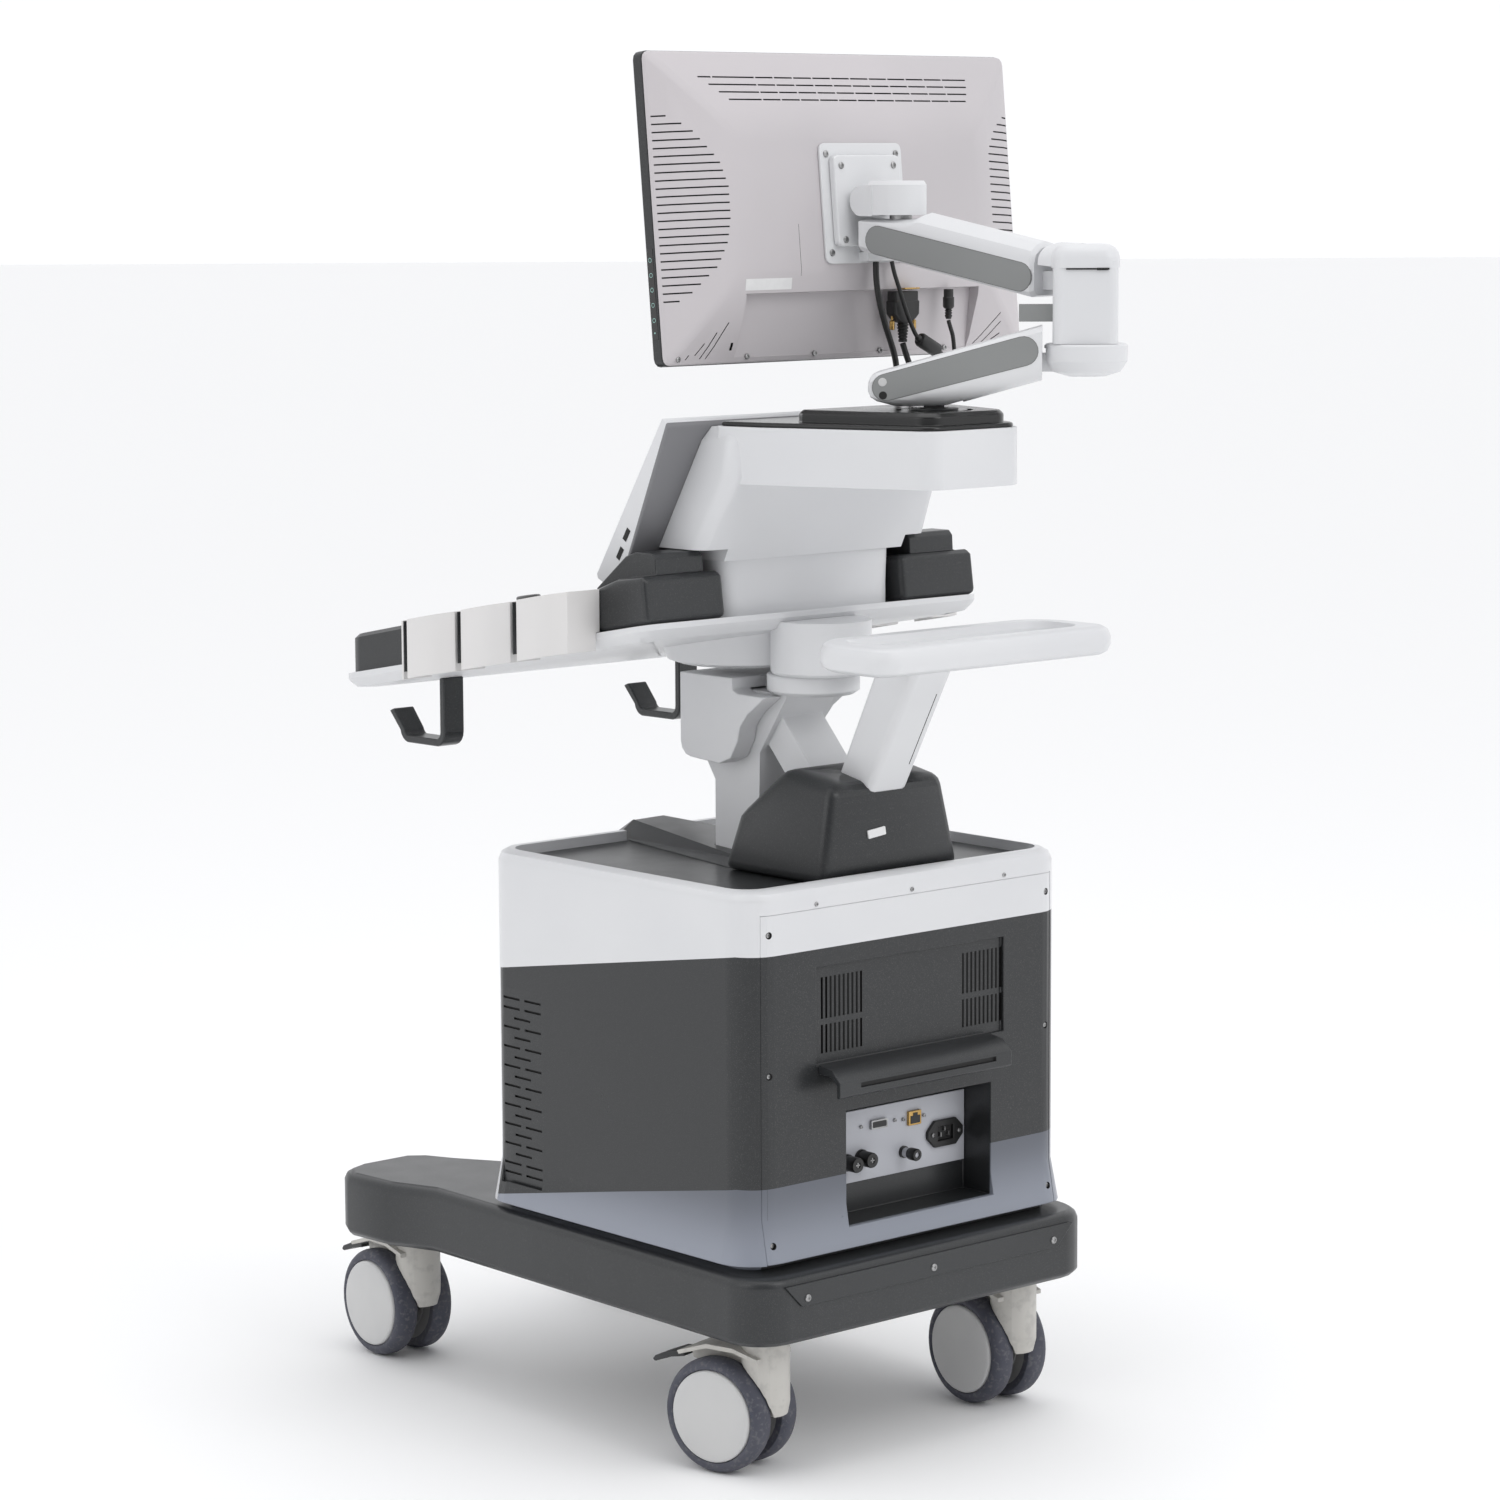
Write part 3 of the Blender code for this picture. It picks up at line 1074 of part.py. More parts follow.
def elbow(axes):
    """Elbow: a round foot kept level on the lower arm, and the block that turns on it."""
    seam = ELBOW_SEAM
    radius = ELBOW_RADIUS
    foot = turned([(0.0, 1.0925), (0.020, 1.0930), (0.034, 1.0975), (radius, 1.1080),
                   (radius, seam - 0.002), (radius - 0.002, seam), (0.010, seam),
                   (0.010, seam + 0.024), (0.0, seam + 0.024)], 32, centre=ELBOW)
    body = make_object("elbow_foot", foot, white_plastic(), (*ELBOW, ELBOW_LOW_PIVOT_Z))
    half = EYE_HALF_WIDTH + 0.0007
    height = ELBOW_LOW_PIVOT_Z
    room = [(-0.060, 1.05), (-0.018, 1.05), (0.014, height - 0.011), (0.014, height + 0.0105),
            (-0.012, height + 0.0105), (-0.060, height + 0.0165)]
    combine(body, cutter("foot_room", slab(ELBOW, axes, room, -half, half)), "DIFFERENCE")
    pin = cross_bore(ELBOW, axes, ELBOW_LOW_PIVOT_Z, PIN_RADIUS, half + 0.003)
    combine(body, cutter("foot_pin", pin), "UNION")

    levels = ((seam + GAP, 0.0), (ELBOW_BLOCK_TOP - 0.010, 0.0), (ELBOW_BLOCK_TOP - 0.003, 0.003),
              (ELBOW_BLOCK_TOP, 0.010))
    shape = rounded_rect(-0.033, 0.031, -0.030, 0.031, 0.010, 3)
    rings = [[at_joint(ELBOW, axes, a, b, z) for a, b in inset(shape, amount)]
             for z, amount in levels]
    block = make_object("elbow_block", loft(rings), white_plastic(), (*ELBOW, seam))
    top = seam + 0.024 + FIT
    bore = turned([(0.0, 1.0), (0.010 + FIT, 1.0), (0.010 + FIT, top), (0.0, top)], 20,
                  centre=ELBOW)
    combine(block, cutter("elbow_bore", bore), "DIFFERENCE")
    axes = arm_axes(HEAD, ELBOW)
    height = ELBOW_HIGH_PIVOT_Z
    room = [(-0.060, height - 0.030), (-0.012, height - 0.0125), (0.014, height - 0.0125),
            (0.014, height + 0.0125), (-0.012, height + 0.0125), (-0.060, height + 0.024)]
    combine(block, cutter("block_room", slab(ELBOW, axes, room, -half, half)), "DIFFERENCE")
    pin = cross_bore(ELBOW, axes, height, PIN_RADIUS, half + 0.003)
    combine(block, cutter("block_pin", pin), "UNION")


def upper_arm():
    """Upper arm segment, rounded on top, with the level pin that carries the head."""
    axes = arm_axes(HEAD, ELBOW)
    run = (Vector(ELBOW) - Vector(HEAD)).length
    high = ELBOW_HIGH_PIVOT_Z
    end = run - 0.046
    centre = 1.2226
    stations = []
    for distance, flat, edge, peak, half in (
            (-0.0360, -0.014, 0.012, 0.0145, 0.024), (-0.0340, -0.016, 0.0140, 0.0163, 0.026),
            (0.0290, -0.0175, 0.018, 0.0295, 0.027), (0.0400, -0.0175, 0.018, 0.0370, 0.027),
            (end - 0.004, -0.0175, 0.018, 0.0370, 0.027), (end, -0.0150, 0.016, 0.0330, 0.024)):
        level = centre - UPPER_SLOPE * distance
        stations.append((distance, level + flat, level + edge, level + peak, half))
    body = casing("upper_arm", HEAD, axes, stations, (*ELBOW, high), 1)
    outline = eye(high, 0.009, -0.060)
    tongue = slab(ELBOW, axes, outline, -EYE_HALF_WIDTH, EYE_HALF_WIDTH)
    combine(body, cutter("upper_arm_eye", tongue), "UNION")
    bore = cross_bore(ELBOW, axes, high, PIN_RADIUS + FIT, 0.05)
    combine(body, cutter("upper_arm_bore", bore), "DIFFERENCE")
    room = [(-0.024, 1.16), (0.024, 1.16), (0.020, 1.30), (-0.020, 1.30)]
    half = 0.0125
    combine(body, cutter("pin_room", slab(HEAD, axes, room, -half, half)), "DIFFERENCE")
    pivot = HEAD_PIVOT_Z
    rod = cross_bore(HEAD, axes, pivot, PIN_RADIUS, half + 0.003)
    combine(body, cutter("head_rod", rod), "UNION")

    hx, hy = HEAD
    top = HEAD_FLOOR - GAP
    bm = turned([(0.0, pivot - 0.010), (0.0115, pivot - 0.010), (0.0115, top),
                 (0.0085, top), (0.0085, top + 0.010), (0.0, top + 0.010)], 24, centre=HEAD)
    pin = make_object("head_pin", bm, bright_steel(), (hx, hy, pivot))
    bore = cross_bore(HEAD, axes, pivot, PIN_RADIUS + FIT, 0.05)
    combine(pin, cutter("head_pin_bore", bore), "DIFFERENCE")


# ---- Monitor ---------------------------------------------------------------------------


def monitor_turn():
    """Rotation of the monitor at rest."""
    yaw = Matrix.Rotation(math.radians(MONITOR_YAW), 3, "Z")
    return yaw @ Matrix.Rotation(math.radians(MONITOR_TILT), 3, "X")


def tilt_point():
    """Middle of the tilt axis."""
    return Vector(MONITOR_CENTRE) + monitor_turn() @ Vector((0.0, TILT_AXIS_OFFSET, 0.0))


def monitor_piece(name, bm, finish):
    """A piece drawn about the middle of the mounting face: X across, Y to the rear."""
    bmesh.ops.translate(bm, verts=bm.verts, vec=(0.0, -TILT_AXIS_OFFSET, 0.0))
    return make_object(name, bm, finish, tilt_point(), monitor_turn())


def monitor_cutter(name, bm, like):
    """A cutter drawn in the monitor's own frame."""
    bmesh.ops.translate(bm, verts=bm.verts, vec=(0.0, -TILT_AXIS_OFFSET, 0.0))
    return cutter(name, bm, like)


def panel_ring(amount, y, radius=0.008):
    """The monitor's outline drawn in by an amount, at a depth."""
    half_x = MONITOR_WIDTH / 2 - amount
    half_z = MONITOR_HEIGHT / 2 - amount
    shape = rounded_rect(-half_x, half_x, -half_z, half_z, radius, 3)
    return [(x, y, z) for x, z in shape]


def monitor():
    """Domed rear shell, dark front frame and the screen in it."""
    rim = -MONITOR_DOME
    rings = [panel_ring(amount, y) for amount, y in (
        (0.0005, rim + GAP), (0.0015, rim + 0.004), (0.018, rim + 0.013), (0.060, -0.006),
        (0.090, 0.0))]
    back = monitor_piece("monitor_back", loft(rings), grey_plastic())
    outline = [(-0.0180, -0.0888), (0.05, -0.0888), (0.05, -0.1500), (-0.0305, -0.1500)]
    shelf = prism_x(outline, -0.163, 0.137)
    combine(back, monitor_cutter("port_shelf", shelf, back), "DIFFERENCE")
    front = rim - RIM_DEPTH
    rings = [panel_ring(amount, y) for amount, y in (
        (0.002, front), (0.0, front + 0.002), (0.0, rim - 0.001), (0.001, rim))]
    frame = monitor_piece("monitor_bezel", loft(rings), black_plastic())
    seat = loft([panel_ring(0.016, y, 0.002) for y in (front - 0.01, front + 0.005)])
    combine(frame, monitor_cutter("screen_seat", seat, frame), "DIFFERENCE")
    pane = loft([panel_ring(0.016 + FIT, y, 0.002) for y in (front + 0.0015, front + 0.005 - GAP)])
    monitor_piece("monitor_screen", pane, screen_glass())


def mount():
    """Outer plate on the monitor, inner plate with the tilt lug, and the swivel head."""
    plate = rounded_rect(-0.0585, 0.0585, -0.061, 0.061, 0.007, 3)
    bm = loft([[(x, y, z) for x, z in plate] for y in (GAP, 0.003)])
    outer = monitor_piece("mount_plate", bm, white_plastic())
    clip = box(-0.042, 0.012, 0.002, 0.016, -0.060, -0.050)
    combine(outer, monitor_cutter("lead_clip", clip, outer), "UNION")
    inner = rounded_rect(-0.047, 0.047, -0.044, 0.048, 0.006, 3)
    low = 0.003 + GAP
    bm = loft([[(x, y, z) for x, z in inner] for y in (low, 0.0113)])
    hub = monitor_piece("tilt_plate", bm, white_plastic())
    axis = TILT_AXIS_OFFSET
    lug = [(0.010, -0.010), (axis, -0.010)] + arc(axis, 0.0, 0.010, -90, 90, 6)[1:]
    lug += [(0.010, 0.010)]
    combine(hub, monitor_cutter("tilt_lug", prism_x(lug, -0.0115, 0.0115), hub), "UNION")
    rod = turned([(0.0, -0.0165), (PIN_RADIUS, -0.0165), (PIN_RADIUS, 0.0165), (0.0, 0.0165)], 16,
                 centre=(axis, 0.0), axis="X")
    combine(hub, monitor_cutter("tilt_rod", rod, hub), "UNION")
    swivel_head()


def swivel_head():
    """Knuckle that turns on the head pin and carries the tilt lug between two cheeks."""
    hx, hy = HEAD
    turn = Matrix.Rotation(math.radians(MONITOR_YAW), 3, "Z")
    floor = HEAD_FLOOR
    middle = tilt_point().z
    offset = turn.transposed() @ (tilt_point() - Vector((hx, hy, 0.0)))
    reach = -offset.y
    top = middle + 0.020
    half = 0.030
    plan = [(half, -reach + 0.010)] + arc(0.0, 0.0, 0.026, 10, 170, 8)
    plan += [(-half, -reach + 0.010)]
    levels = ((floor, 1.0), (top - 0.004, 1.0), (top, 0.90))
    rings = [[(x * share, y * share, z - floor) for x, y in plan] for z, share in levels]
    body = make_object("swivel_head", loft(rings), white_plastic(), (hx, hy, floor), turn)
    centre = middle - floor
    for sign in (-1, 1):
        cheek = [(-reach + y, centre + z) for y, z in arc(0.0, 0.0, 0.0155, 90, 270, 8)]
        cheek += [(-reach + 0.016, centre - 0.0155), (-reach + 0.016, centre + 0.0155)]
        bm = prism_x(cheek, offset.x + sign * 0.013, sign * half)
        combine(body, cutter(f"cheek_{sign}", bm, body), "UNION")
    slot = box(offset.x - 0.013, offset.x + 0.013, -reach - 0.03, -reach + 0.0125, -0.05, 0.08)
    combine(body, cutter("lug_slot", slot, body), "DIFFERENCE")
    low, high = offset.x - 0.017, offset.x + 0.017
    bore = turned([(0.0, low), (PIN_RADIUS + FIT, low), (PIN_RADIUS + FIT, high), (0.0, high)],
                  16, centre=(-reach, centre), axis="X")
    combine(body, cutter("tilt_bore", bore, body), "DIFFERENCE")
    bore = turned([(0.0, -0.05), (0.0085 + FIT, -0.05), (0.0085 + FIT, 0.011), (0.0, 0.011)], 20)
    combine(body, cutter("pin_bore", bore, body), "DIFFERENCE")


# ---- Leads -----------------------------------------------------------------------------

def lead(name, route, radius):
    """A free lead: a round tube through its route."""
    curve = bpy.data.curves.new(name, "CURVE")
    curve.dimensions = "3D"
    curve.bevel_depth = radius
    curve.bevel_resolution = 2
    curve.use_fill_caps = True
    points = smooth_route(route, 3)
    spline = curve.splines.new("POLY")
    spline.points.add(len(points) - 1)
    for slot, point in zip(spline.points, points):
        slot.co = (*point, 1.0)
    curve.materials.append(cable_rubber())
    made = bpy.data.objects.new(name, curve)
    bpy.context.collection.objects.link(made)
    made.parent = bpy.data.objects["cart"]


def plug(name, x, y, levels, segments):
    """A plug hanging from the port shelf: stacked sections, widest at the top."""
    rings = []
    for z, half_x, half_y in levels:
        radius = min(half_x, half_y) * 0.45
        rings.append([(x + a, y + b, z) for a, b in
                      rounded_rect(-half_x, half_x, -half_y, half_y, radius, segments)])
    make_object(name, loft(rings), black_plastic())


def leads():
    """The two leads behind the monitor and the plugs on their ends."""
    lead("signal_lead", SIGNAL_ROUTE, SIGNAL_LEAD_RADIUS)
    lead("power_lead", POWER_ROUTE, POWER_LEAD_RADIUS)
    low = SIGNAL_ROUTE[-1][2] + LEAD_END_GAP
    plug("video_plug", PLUG_X, PLUG_Y, (
        (low, 0.0042, 0.0042), (low + 0.0200, 0.0062, 0.0055), (low + 0.0235, 0.0150, 0.0070),
        (low + 0.0290, 0.0180, 0.0075), (low + 0.0530, 0.0180, 0.0075)), 2)
    low = POWER_ROUTE[-1][2] + LEAD_END_GAP
    plug("power_plug", JACK_X, PLUG_Y, (
        (low, 0.0028, 0.0028), (low + 0.0100, 0.0042, 0.0042), (low + 0.0120, 0.0058, 0.0058),
        (low + 0.0310, 0.0058, 0.0058)), 3)


# ---- Build -----------------------------------------------------------------------------


def build():
    for old in list(bpy.data.objects):
        bpy.data.objects.remove(old, do_unlink=True)
    cart = bpy.data.objects.new("cart", None)
    bpy.context.collection.objects.link(cart)
    cart.location = (*CART_SHIFT, 0.0)
    for name in CASTER_STEMS:
        caster(name)
    base()
    cabinet()
    tower()
    handle()
    column()
    console_tray()
    control_panel()
    for side in (1, -1):
        side_cover(side)
        probe_holder(side)
        hook(side)
    touch_display()
    rear_housing()
    shelf_plates()
    monitor_arm()
    monitor()
    mount()
    leads()


build()
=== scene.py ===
import json
import math

import bmesh
import bpy
from mathutils import Matrix, Vector


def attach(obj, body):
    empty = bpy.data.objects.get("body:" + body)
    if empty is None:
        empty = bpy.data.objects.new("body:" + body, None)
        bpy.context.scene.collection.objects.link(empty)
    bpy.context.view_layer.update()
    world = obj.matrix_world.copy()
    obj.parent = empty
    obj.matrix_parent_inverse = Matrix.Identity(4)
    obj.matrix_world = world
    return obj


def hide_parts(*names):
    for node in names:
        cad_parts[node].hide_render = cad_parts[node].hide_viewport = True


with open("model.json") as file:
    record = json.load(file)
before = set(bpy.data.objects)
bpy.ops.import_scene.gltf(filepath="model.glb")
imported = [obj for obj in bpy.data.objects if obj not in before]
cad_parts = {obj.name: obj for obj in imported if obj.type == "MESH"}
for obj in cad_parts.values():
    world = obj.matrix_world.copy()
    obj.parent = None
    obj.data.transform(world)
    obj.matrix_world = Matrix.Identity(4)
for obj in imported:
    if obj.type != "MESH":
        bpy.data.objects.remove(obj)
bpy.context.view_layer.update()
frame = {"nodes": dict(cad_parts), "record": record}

# ---- Camera ----------------------------------------------------------------------------
# A long lens at chest height, looking at the rear right of the cart.

CAMERA_PLACE = (2.98038, 3.39431, 1.29868)
CAMERA_AZIMUTH = math.radians(138.717)
CAMERA_DIP = math.radians(7.682)
CAMERA_ROLL = math.radians(-0.3006)

ahead = Vector((-math.sin(CAMERA_AZIMUTH) * math.cos(CAMERA_DIP),
                math.cos(CAMERA_AZIMUTH) * math.cos(CAMERA_DIP), -math.sin(CAMERA_DIP)))
level = ahead.cross(Vector((0.0, 0.0, 1.0))).normalized()
upright = level.cross(ahead)
across = level * math.cos(CAMERA_ROLL) + upright * math.sin(CAMERA_ROLL)
over = upright * math.cos(CAMERA_ROLL) - level * math.sin(CAMERA_ROLL)
camera_data = bpy.data.cameras.new("camera")
camera_data.lens = 103.806
camera_data.sensor_width = 36.0
camera_data.clip_end = 60.0
camera = bpy.data.objects.new("camera", camera_data)
turned_to = Matrix((across, over, -ahead)).transposed().to_4x4()
camera.matrix_world = Matrix.Translation(CAMERA_PLACE) @ turned_to
bpy.context.collection.objects.link(camera)
bpy.context.scene.camera = camera


# ---- Leads behind the monitor ----------------------------------------------------------
# The video lead is a round black PVC cable, the power lead a thinner one with a ferrite
# bead moulded round it.  Both leave a clip under the mounting plate, hang in a loop, and
# come back up into plugs below the monitor's port shelf.

CART = Vector((0.022, -0.041, 0.0))       # the cart's own origin in the frame


class Wire:
    """One output socket of a material's nodes, with the arithmetic to combine them."""

    def __init__(self, tree, socket=None):
        self.tree = tree
        self.socket = socket

    def node(self, kind, settings=None, sockets=None, out=0):
        """Add any node: its settings first, then what goes into its sockets."""
        made = self.tree.nodes.new("ShaderNode" + kind)
        for key, value in (settings or {}).items():
            if key == "stops":
                ramp = made.color_ramp
                while len(ramp.elements) < len(value):
                    ramp.elements.new(0.5)
                for element, (place, shade) in zip(ramp.elements, value):
                    element.position = place
                    element.color = shade
            else:
                setattr(made, key, value)
        for key, value in (sockets or {}).items():
            if isinstance(value, Wire):
                self.tree.links.new(value.socket, made.inputs[key])
            else:
                made.inputs[key].default_value = value
        return Wire(self.tree, made.outputs[out])

    def maths(self, operation, first, second=0.0):
        """One Math node on two values."""
        return self.node("Math", {"operation": operation}, {0: first, 1: second})

    def __add__(self, other):
        return self.maths("ADD", self, other)

    __radd__ = __add__

    def __sub__(self, other):
        return self.maths("SUBTRACT", self, other)

    def __rsub__(self, other):
        return self.maths("SUBTRACT", other, self)

    def __mul__(self, other):
        return self.maths("MULTIPLY", self, other)

    __rmul__ = __mul__

    def __lt__(self, other):
        return self.maths("LESS_THAN", self, other)

    def __gt__(self, other):
        return self.maths("GREATER_THAN", self, other)

    def span(self, low, high):
        """Stretch the part between low and high over 0 to 1."""
        return self.node("MapRange", {"interpolation_type": "SMOOTHSTEP"},
                         {"Value": self, "From Min": low, "From Max": high})

    def mix(self, first, second):
        """Blend two colours by this value."""
        return self.node("Mix", {"data_type": "RGBA"}, {0: self, 6: first, 7: second}, out=2)


def grey(shade, warmth=0.0):
    """A near-grey linear colour; warmth leans it to red, or to blue when negative."""
    return (shade * (1 + warmth), shade, shade * (1 - warmth), 1.0)


def moulded(name, colour, second, rough=0.42, rough_swing=0.10, grain=900.0, grain_depth=0.00006,
            cloud=3.5, wear=None, coat=0.0, metallic=0.0, specks=None, painted=None):
    """Moulded or painted surface: faint clouding, a fine moulded grain and scuffs."""
    made = bpy.data.materials.new(name)
    made.use_nodes = True
    tree = made.node_tree
    shader = tree.nodes["Principled BSDF"]
    shader.inputs["Metallic"].default_value = metallic
    shader.inputs["Coat Weight"].default_value = coat
    maker = Wire(tree)
    place = maker.node("TexCoord", out=3)
    clouds = maker.node("TexNoise", sockets={"Vector": place, "Scale": cloud, "Detail": 3.0})
    fine = maker.node("TexNoise", sockets={"Vector": place, "Scale": grain, "Detail": 2.0})
    smears = maker.node("TexNoise", sockets={"Vector": place, "Scale": cloud * 9, "Detail": 5.0})
    shade = clouds.span(0.35, 0.65).mix(colour, second)
    if specks is not None:
        dots = maker.node("TexNoise", sockets={"Vector": place, "Scale": 1500.0, "Detail": 1.0})
        shade = (dots.span(0.60, 0.72) * 0.8).mix(shade, specks)
    if wear is not None:
        shade = (smears.span(0.50, 0.68) * 0.45).mix(shade, wear)
    # The hook may add painted light: a painted reflection on the cabinet's skirt, painted shade on
    # the display's back.
    if painted is not None:
        shade = painted(maker, place, shade)
    tree.links.new(shade.socket, shader.inputs["Base Color"])
    gloss = rough - rough_swing * 0.5 + smears * rough_swing
    tree.links.new(gloss.socket, shader.inputs["Roughness"])
    bump = maker.node("Bump", sockets={"Strength": 0.35, "Distance": grain_depth, "Height": fine})
    tree.links.new(bump.socket, shader.inputs["Normal"])
    return made


def as_piece(name, bm, finish, body, stands_for=(), edge=0.0, segments=2, sharp=34.0):
    """Make a piece from a mesh in the frame's own position, and set it on its body."""
    bmesh.ops.recalc_face_normals(bm, faces=bm.faces)
    mesh = bpy.data.meshes.new(name)
    bm.to_mesh(mesh)
    bm.free()
    mesh.shade_smooth()
    mesh.set_sharp_from_angle(angle=math.radians(sharp))
    made = bpy.data.objects.new(name, mesh)
    bpy.context.collection.objects.link(made)
    mesh.materials.append(finish)
    if edge:
        round_off = made.modifiers.new("round_off", "BEVEL")
        round_off.width = edge
        round_off.segments = segments
        round_off.limit_method = "ANGLE"
        round_off.angle_limit = math.radians(sharp)
        made.modifiers.new("even_shading", "WEIGHTED_NORMAL").keep_sharp = True
    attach(made, body)
    if stands_for:
        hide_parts(*stands_for)
    return made


def loft(rings, bm=None, place=None):
    """A closed body through rings of equally many points, optionally moved by a matrix."""
    bm = bm or bmesh.new()
    if place is not None:
        rings = [[place @ Vector(p) for p in ring] for ring in rings]
    made = [[bm.verts.new(p) for p in ring] for ring in rings]
    count = len(rings[0])
    for low, high in zip(made, made[1:]):
        for i in range(count):
            j = (i + 1) % count
            bm.faces.new((low[i], low[j], high[j], high[i]))
    bm.faces.new(list(reversed(made[0])))
    bm.faces.new(made[-1])
    return bm


def smooth_route(points, steps):
    """Catmull-Rom points through a route's own points."""
    ends = [points[0]] + list(points) + [points[-1]]
    route = []
    for i in range(1, len(ends) - 2):
        a, b, c, d = (Vector(p) for p in ends[i - 1:i + 3])
        for k in range(steps):
            t = k / steps
            route.append(0.5 * (2 * b + (c - a) * t + (2 * a - 5 * b + 4 * c - d) * t ** 2
                                + (3 * b - a - 3 * c + d) * t ** 3))
    route.append(Vector(points[-1]))
    return route


def lead(name, route, radius, finish, stands_for):
    """A free lead through its route, put on the monitor's body in place of a frame part."""
    curve = bpy.data.curves.new(name, "CURVE")
    curve.dimensions = "3D"
    curve.bevel_depth = radius
    curve.bevel_resolution = 5
    curve.use_fill_caps = True
    points = [CART + p for p in smooth_route(route, 3)]
    spline = curve.splines.new("POLY")
    spline.points.add(len(points) - 1)
    spline.use_smooth = True
    for control, point in zip(spline.points, points):
        control.co = (*point, 1.0)
    curve.materials.append(finish)
    made = bpy.data.objects.new(name, curve)
    bpy.context.collection.objects.link(made)
    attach(made, "monitor")
    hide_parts(stands_for)
    length = sum((b - a).length for a, b in zip(points, points[1:]))
    return made


SIGNAL_ROUTE = ((-0.0758, 0.1786, 1.2015), (-0.0752, 0.1795, 1.1880), (-0.0760, 0.1805, 1.1740),
                (-0.0800, 0.1815, 1.1545), (-0.0868, 0.1820, 1.1345), (-0.0965, 0.1820, 1.1115),
                (-0.1020, 0.1810, 1.0950), (-0.1048, 0.1790, 1.0790), (-0.1105, 0.1760, 1.0680),
                (-0.1205, 0.1730, 1.0635), (-0.1300, 0.1705, 1.0675), (-0.1352, 0.1690, 1.0780),
                (-0.1340, 0.1684, 1.0910), (-0.1285, 0.1681, 1.1040), (-0.1235, 0.1680, 1.1165))
POWER_ROUTE = ((-0.0980, 0.1786, 1.2015), (-0.1008, 0.1798, 1.1890), (-0.1050, 0.1810, 1.1767),
               (-0.1150, 0.1820, 1.1509), (-0.1248, 0.1820, 1.1321), (-0.1327, 0.1820, 1.1219),
               (-0.1480, 0.1820, 1.1135), (-0.1633, 0.1820, 1.1066), (-0.1720, 0.1810, 1.1005),
               (-0.1790, 0.1785, 1.0945), (-0.1865, 0.1750, 1.0915), (-0.1930, 0.1715, 1.0940),
               (-0.1960, 0.1695, 1.1010), (-0.1965, 0.1685, 1.1110), (-0.1950, 0.1681, 1.1230),
               (-0.1915, 0.1680, 1.1320), (-0.1890, 0.1680, 1.1385))
SIGNAL_RADIUS, POWER_RADIUS = 0.0032, 0.0022
LEAD_END_GAP = 0.0016

cable_black = moulded("cable_black", grey(0.012), grey(0.018), rough=0.46, grain=700.0,
                      grain_depth=0.0001, cloud=40.0)


def rounded(x0, x1, y0, y1, radius, steps=4):
    """Corner-rounded rectangle, as a loop of flat points."""
    loop = []
    for cx, cy, start in ((x1 - radius, y0 + radius, -90), (x1 - radius, y1 - radius, 0),
                          (x0 + radius, y1 - radius, 90), (x0 + radius, y0 + radius, 180)):
        for k in range(steps + 1):
            turn = math.radians(start + 90 * k / steps)
            loop.append((cx + radius * math.cos(turn), cy + radius * math.sin(turn)))
    return loop


def spun(profile, steps=32, bm=None, place=None):
    """Turn a (radius, height) outline about the upright axis, closed at both ends."""
    rings = []
    for radius, height in profile:
        rings.append([(max(radius, 1e-5) * math.cos(2 * math.pi * k / steps),
                       max(radius, 1e-5) * math.sin(2 * math.pi * k / steps), height)
                      for k in range(steps)])
    return loft(rings, bm, place)


def upright_plug(name, route, levels, stands_for):
    """A moulded plug at a route's end, as (height, half width, half depth, rounding)."""
    x, y, _ = route[-1]
    bm = loft([[(x + a, y + b, z) for a, b in rounded(-hx, hx, -hy, hy, min(hx, hy) * share)]
               for z, hx, hy, share in levels], place=Matrix.Translation(CART))
    return as_piece(name, bm, cable_black, "monitor", stands_for, edge=0.0004)


low = SIGNAL_ROUTE[-1][2] + LEAD_END_GAP
levels = [(low, 0.0042, 0.0042, 0.9)]
for rib in range(6):
    z = low + 0.0012 + rib * 0.0031
    swell = 0.0044 + 0.0003 * rib
    waist = swell - 0.0008
    levels += [(z, swell, swell, 0.9), (z + 0.0018, swell, swell, 0.9),
               (z + 0.0019, waist, waist, 0.9), (z + 0.0029, waist, waist, 0.9)]
levels += [(low + 0.0205, 0.0075, 0.0058, 0.7), (low + 0.0245, 0.0140, 0.0070, 0.5),
           (low + 0.0290, 0.0178, 0.0075, 0.4), (low + 0.0420, 0.0180, 0.0075, 0.35),
           (low + 0.0430, 0.0168, 0.0066, 0.35), (low + 0.0525, 0.0168, 0.0066, 0.35)]
video_plug = upright_plug("video_plug_body", SIGNAL_ROUTE, levels, ("video_plug",))

brass = moulded("screw_brass", (0.55, 0.36, 0.13, 1.0), (0.46, 0.29, 0.10, 1.0), rough=0.28,
                metallic=1.0, grain=400.0, cloud=60.0)
thumbscrews = bmesh.new()
for side in (-1, 1):
    x, y, _ = SIGNAL_ROUTE[-1]
    foot = Matrix.Translation(CART + Vector((x + side * 0.0152, y, low + 0.0130)))
    spun([(0.0, 0.0), (0.0024, 0.0), (0.0028, 0.0006), (0.0028, 0.0088), (0.0022, 0.0096),
          (0.0012, 0.0100), (0.0012, 0.0150), (0.0, 0.0150)], 18, thumbscrews, foot)
screws = as_piece("video_plug_screws", thumbscrews, brass, "monitor")

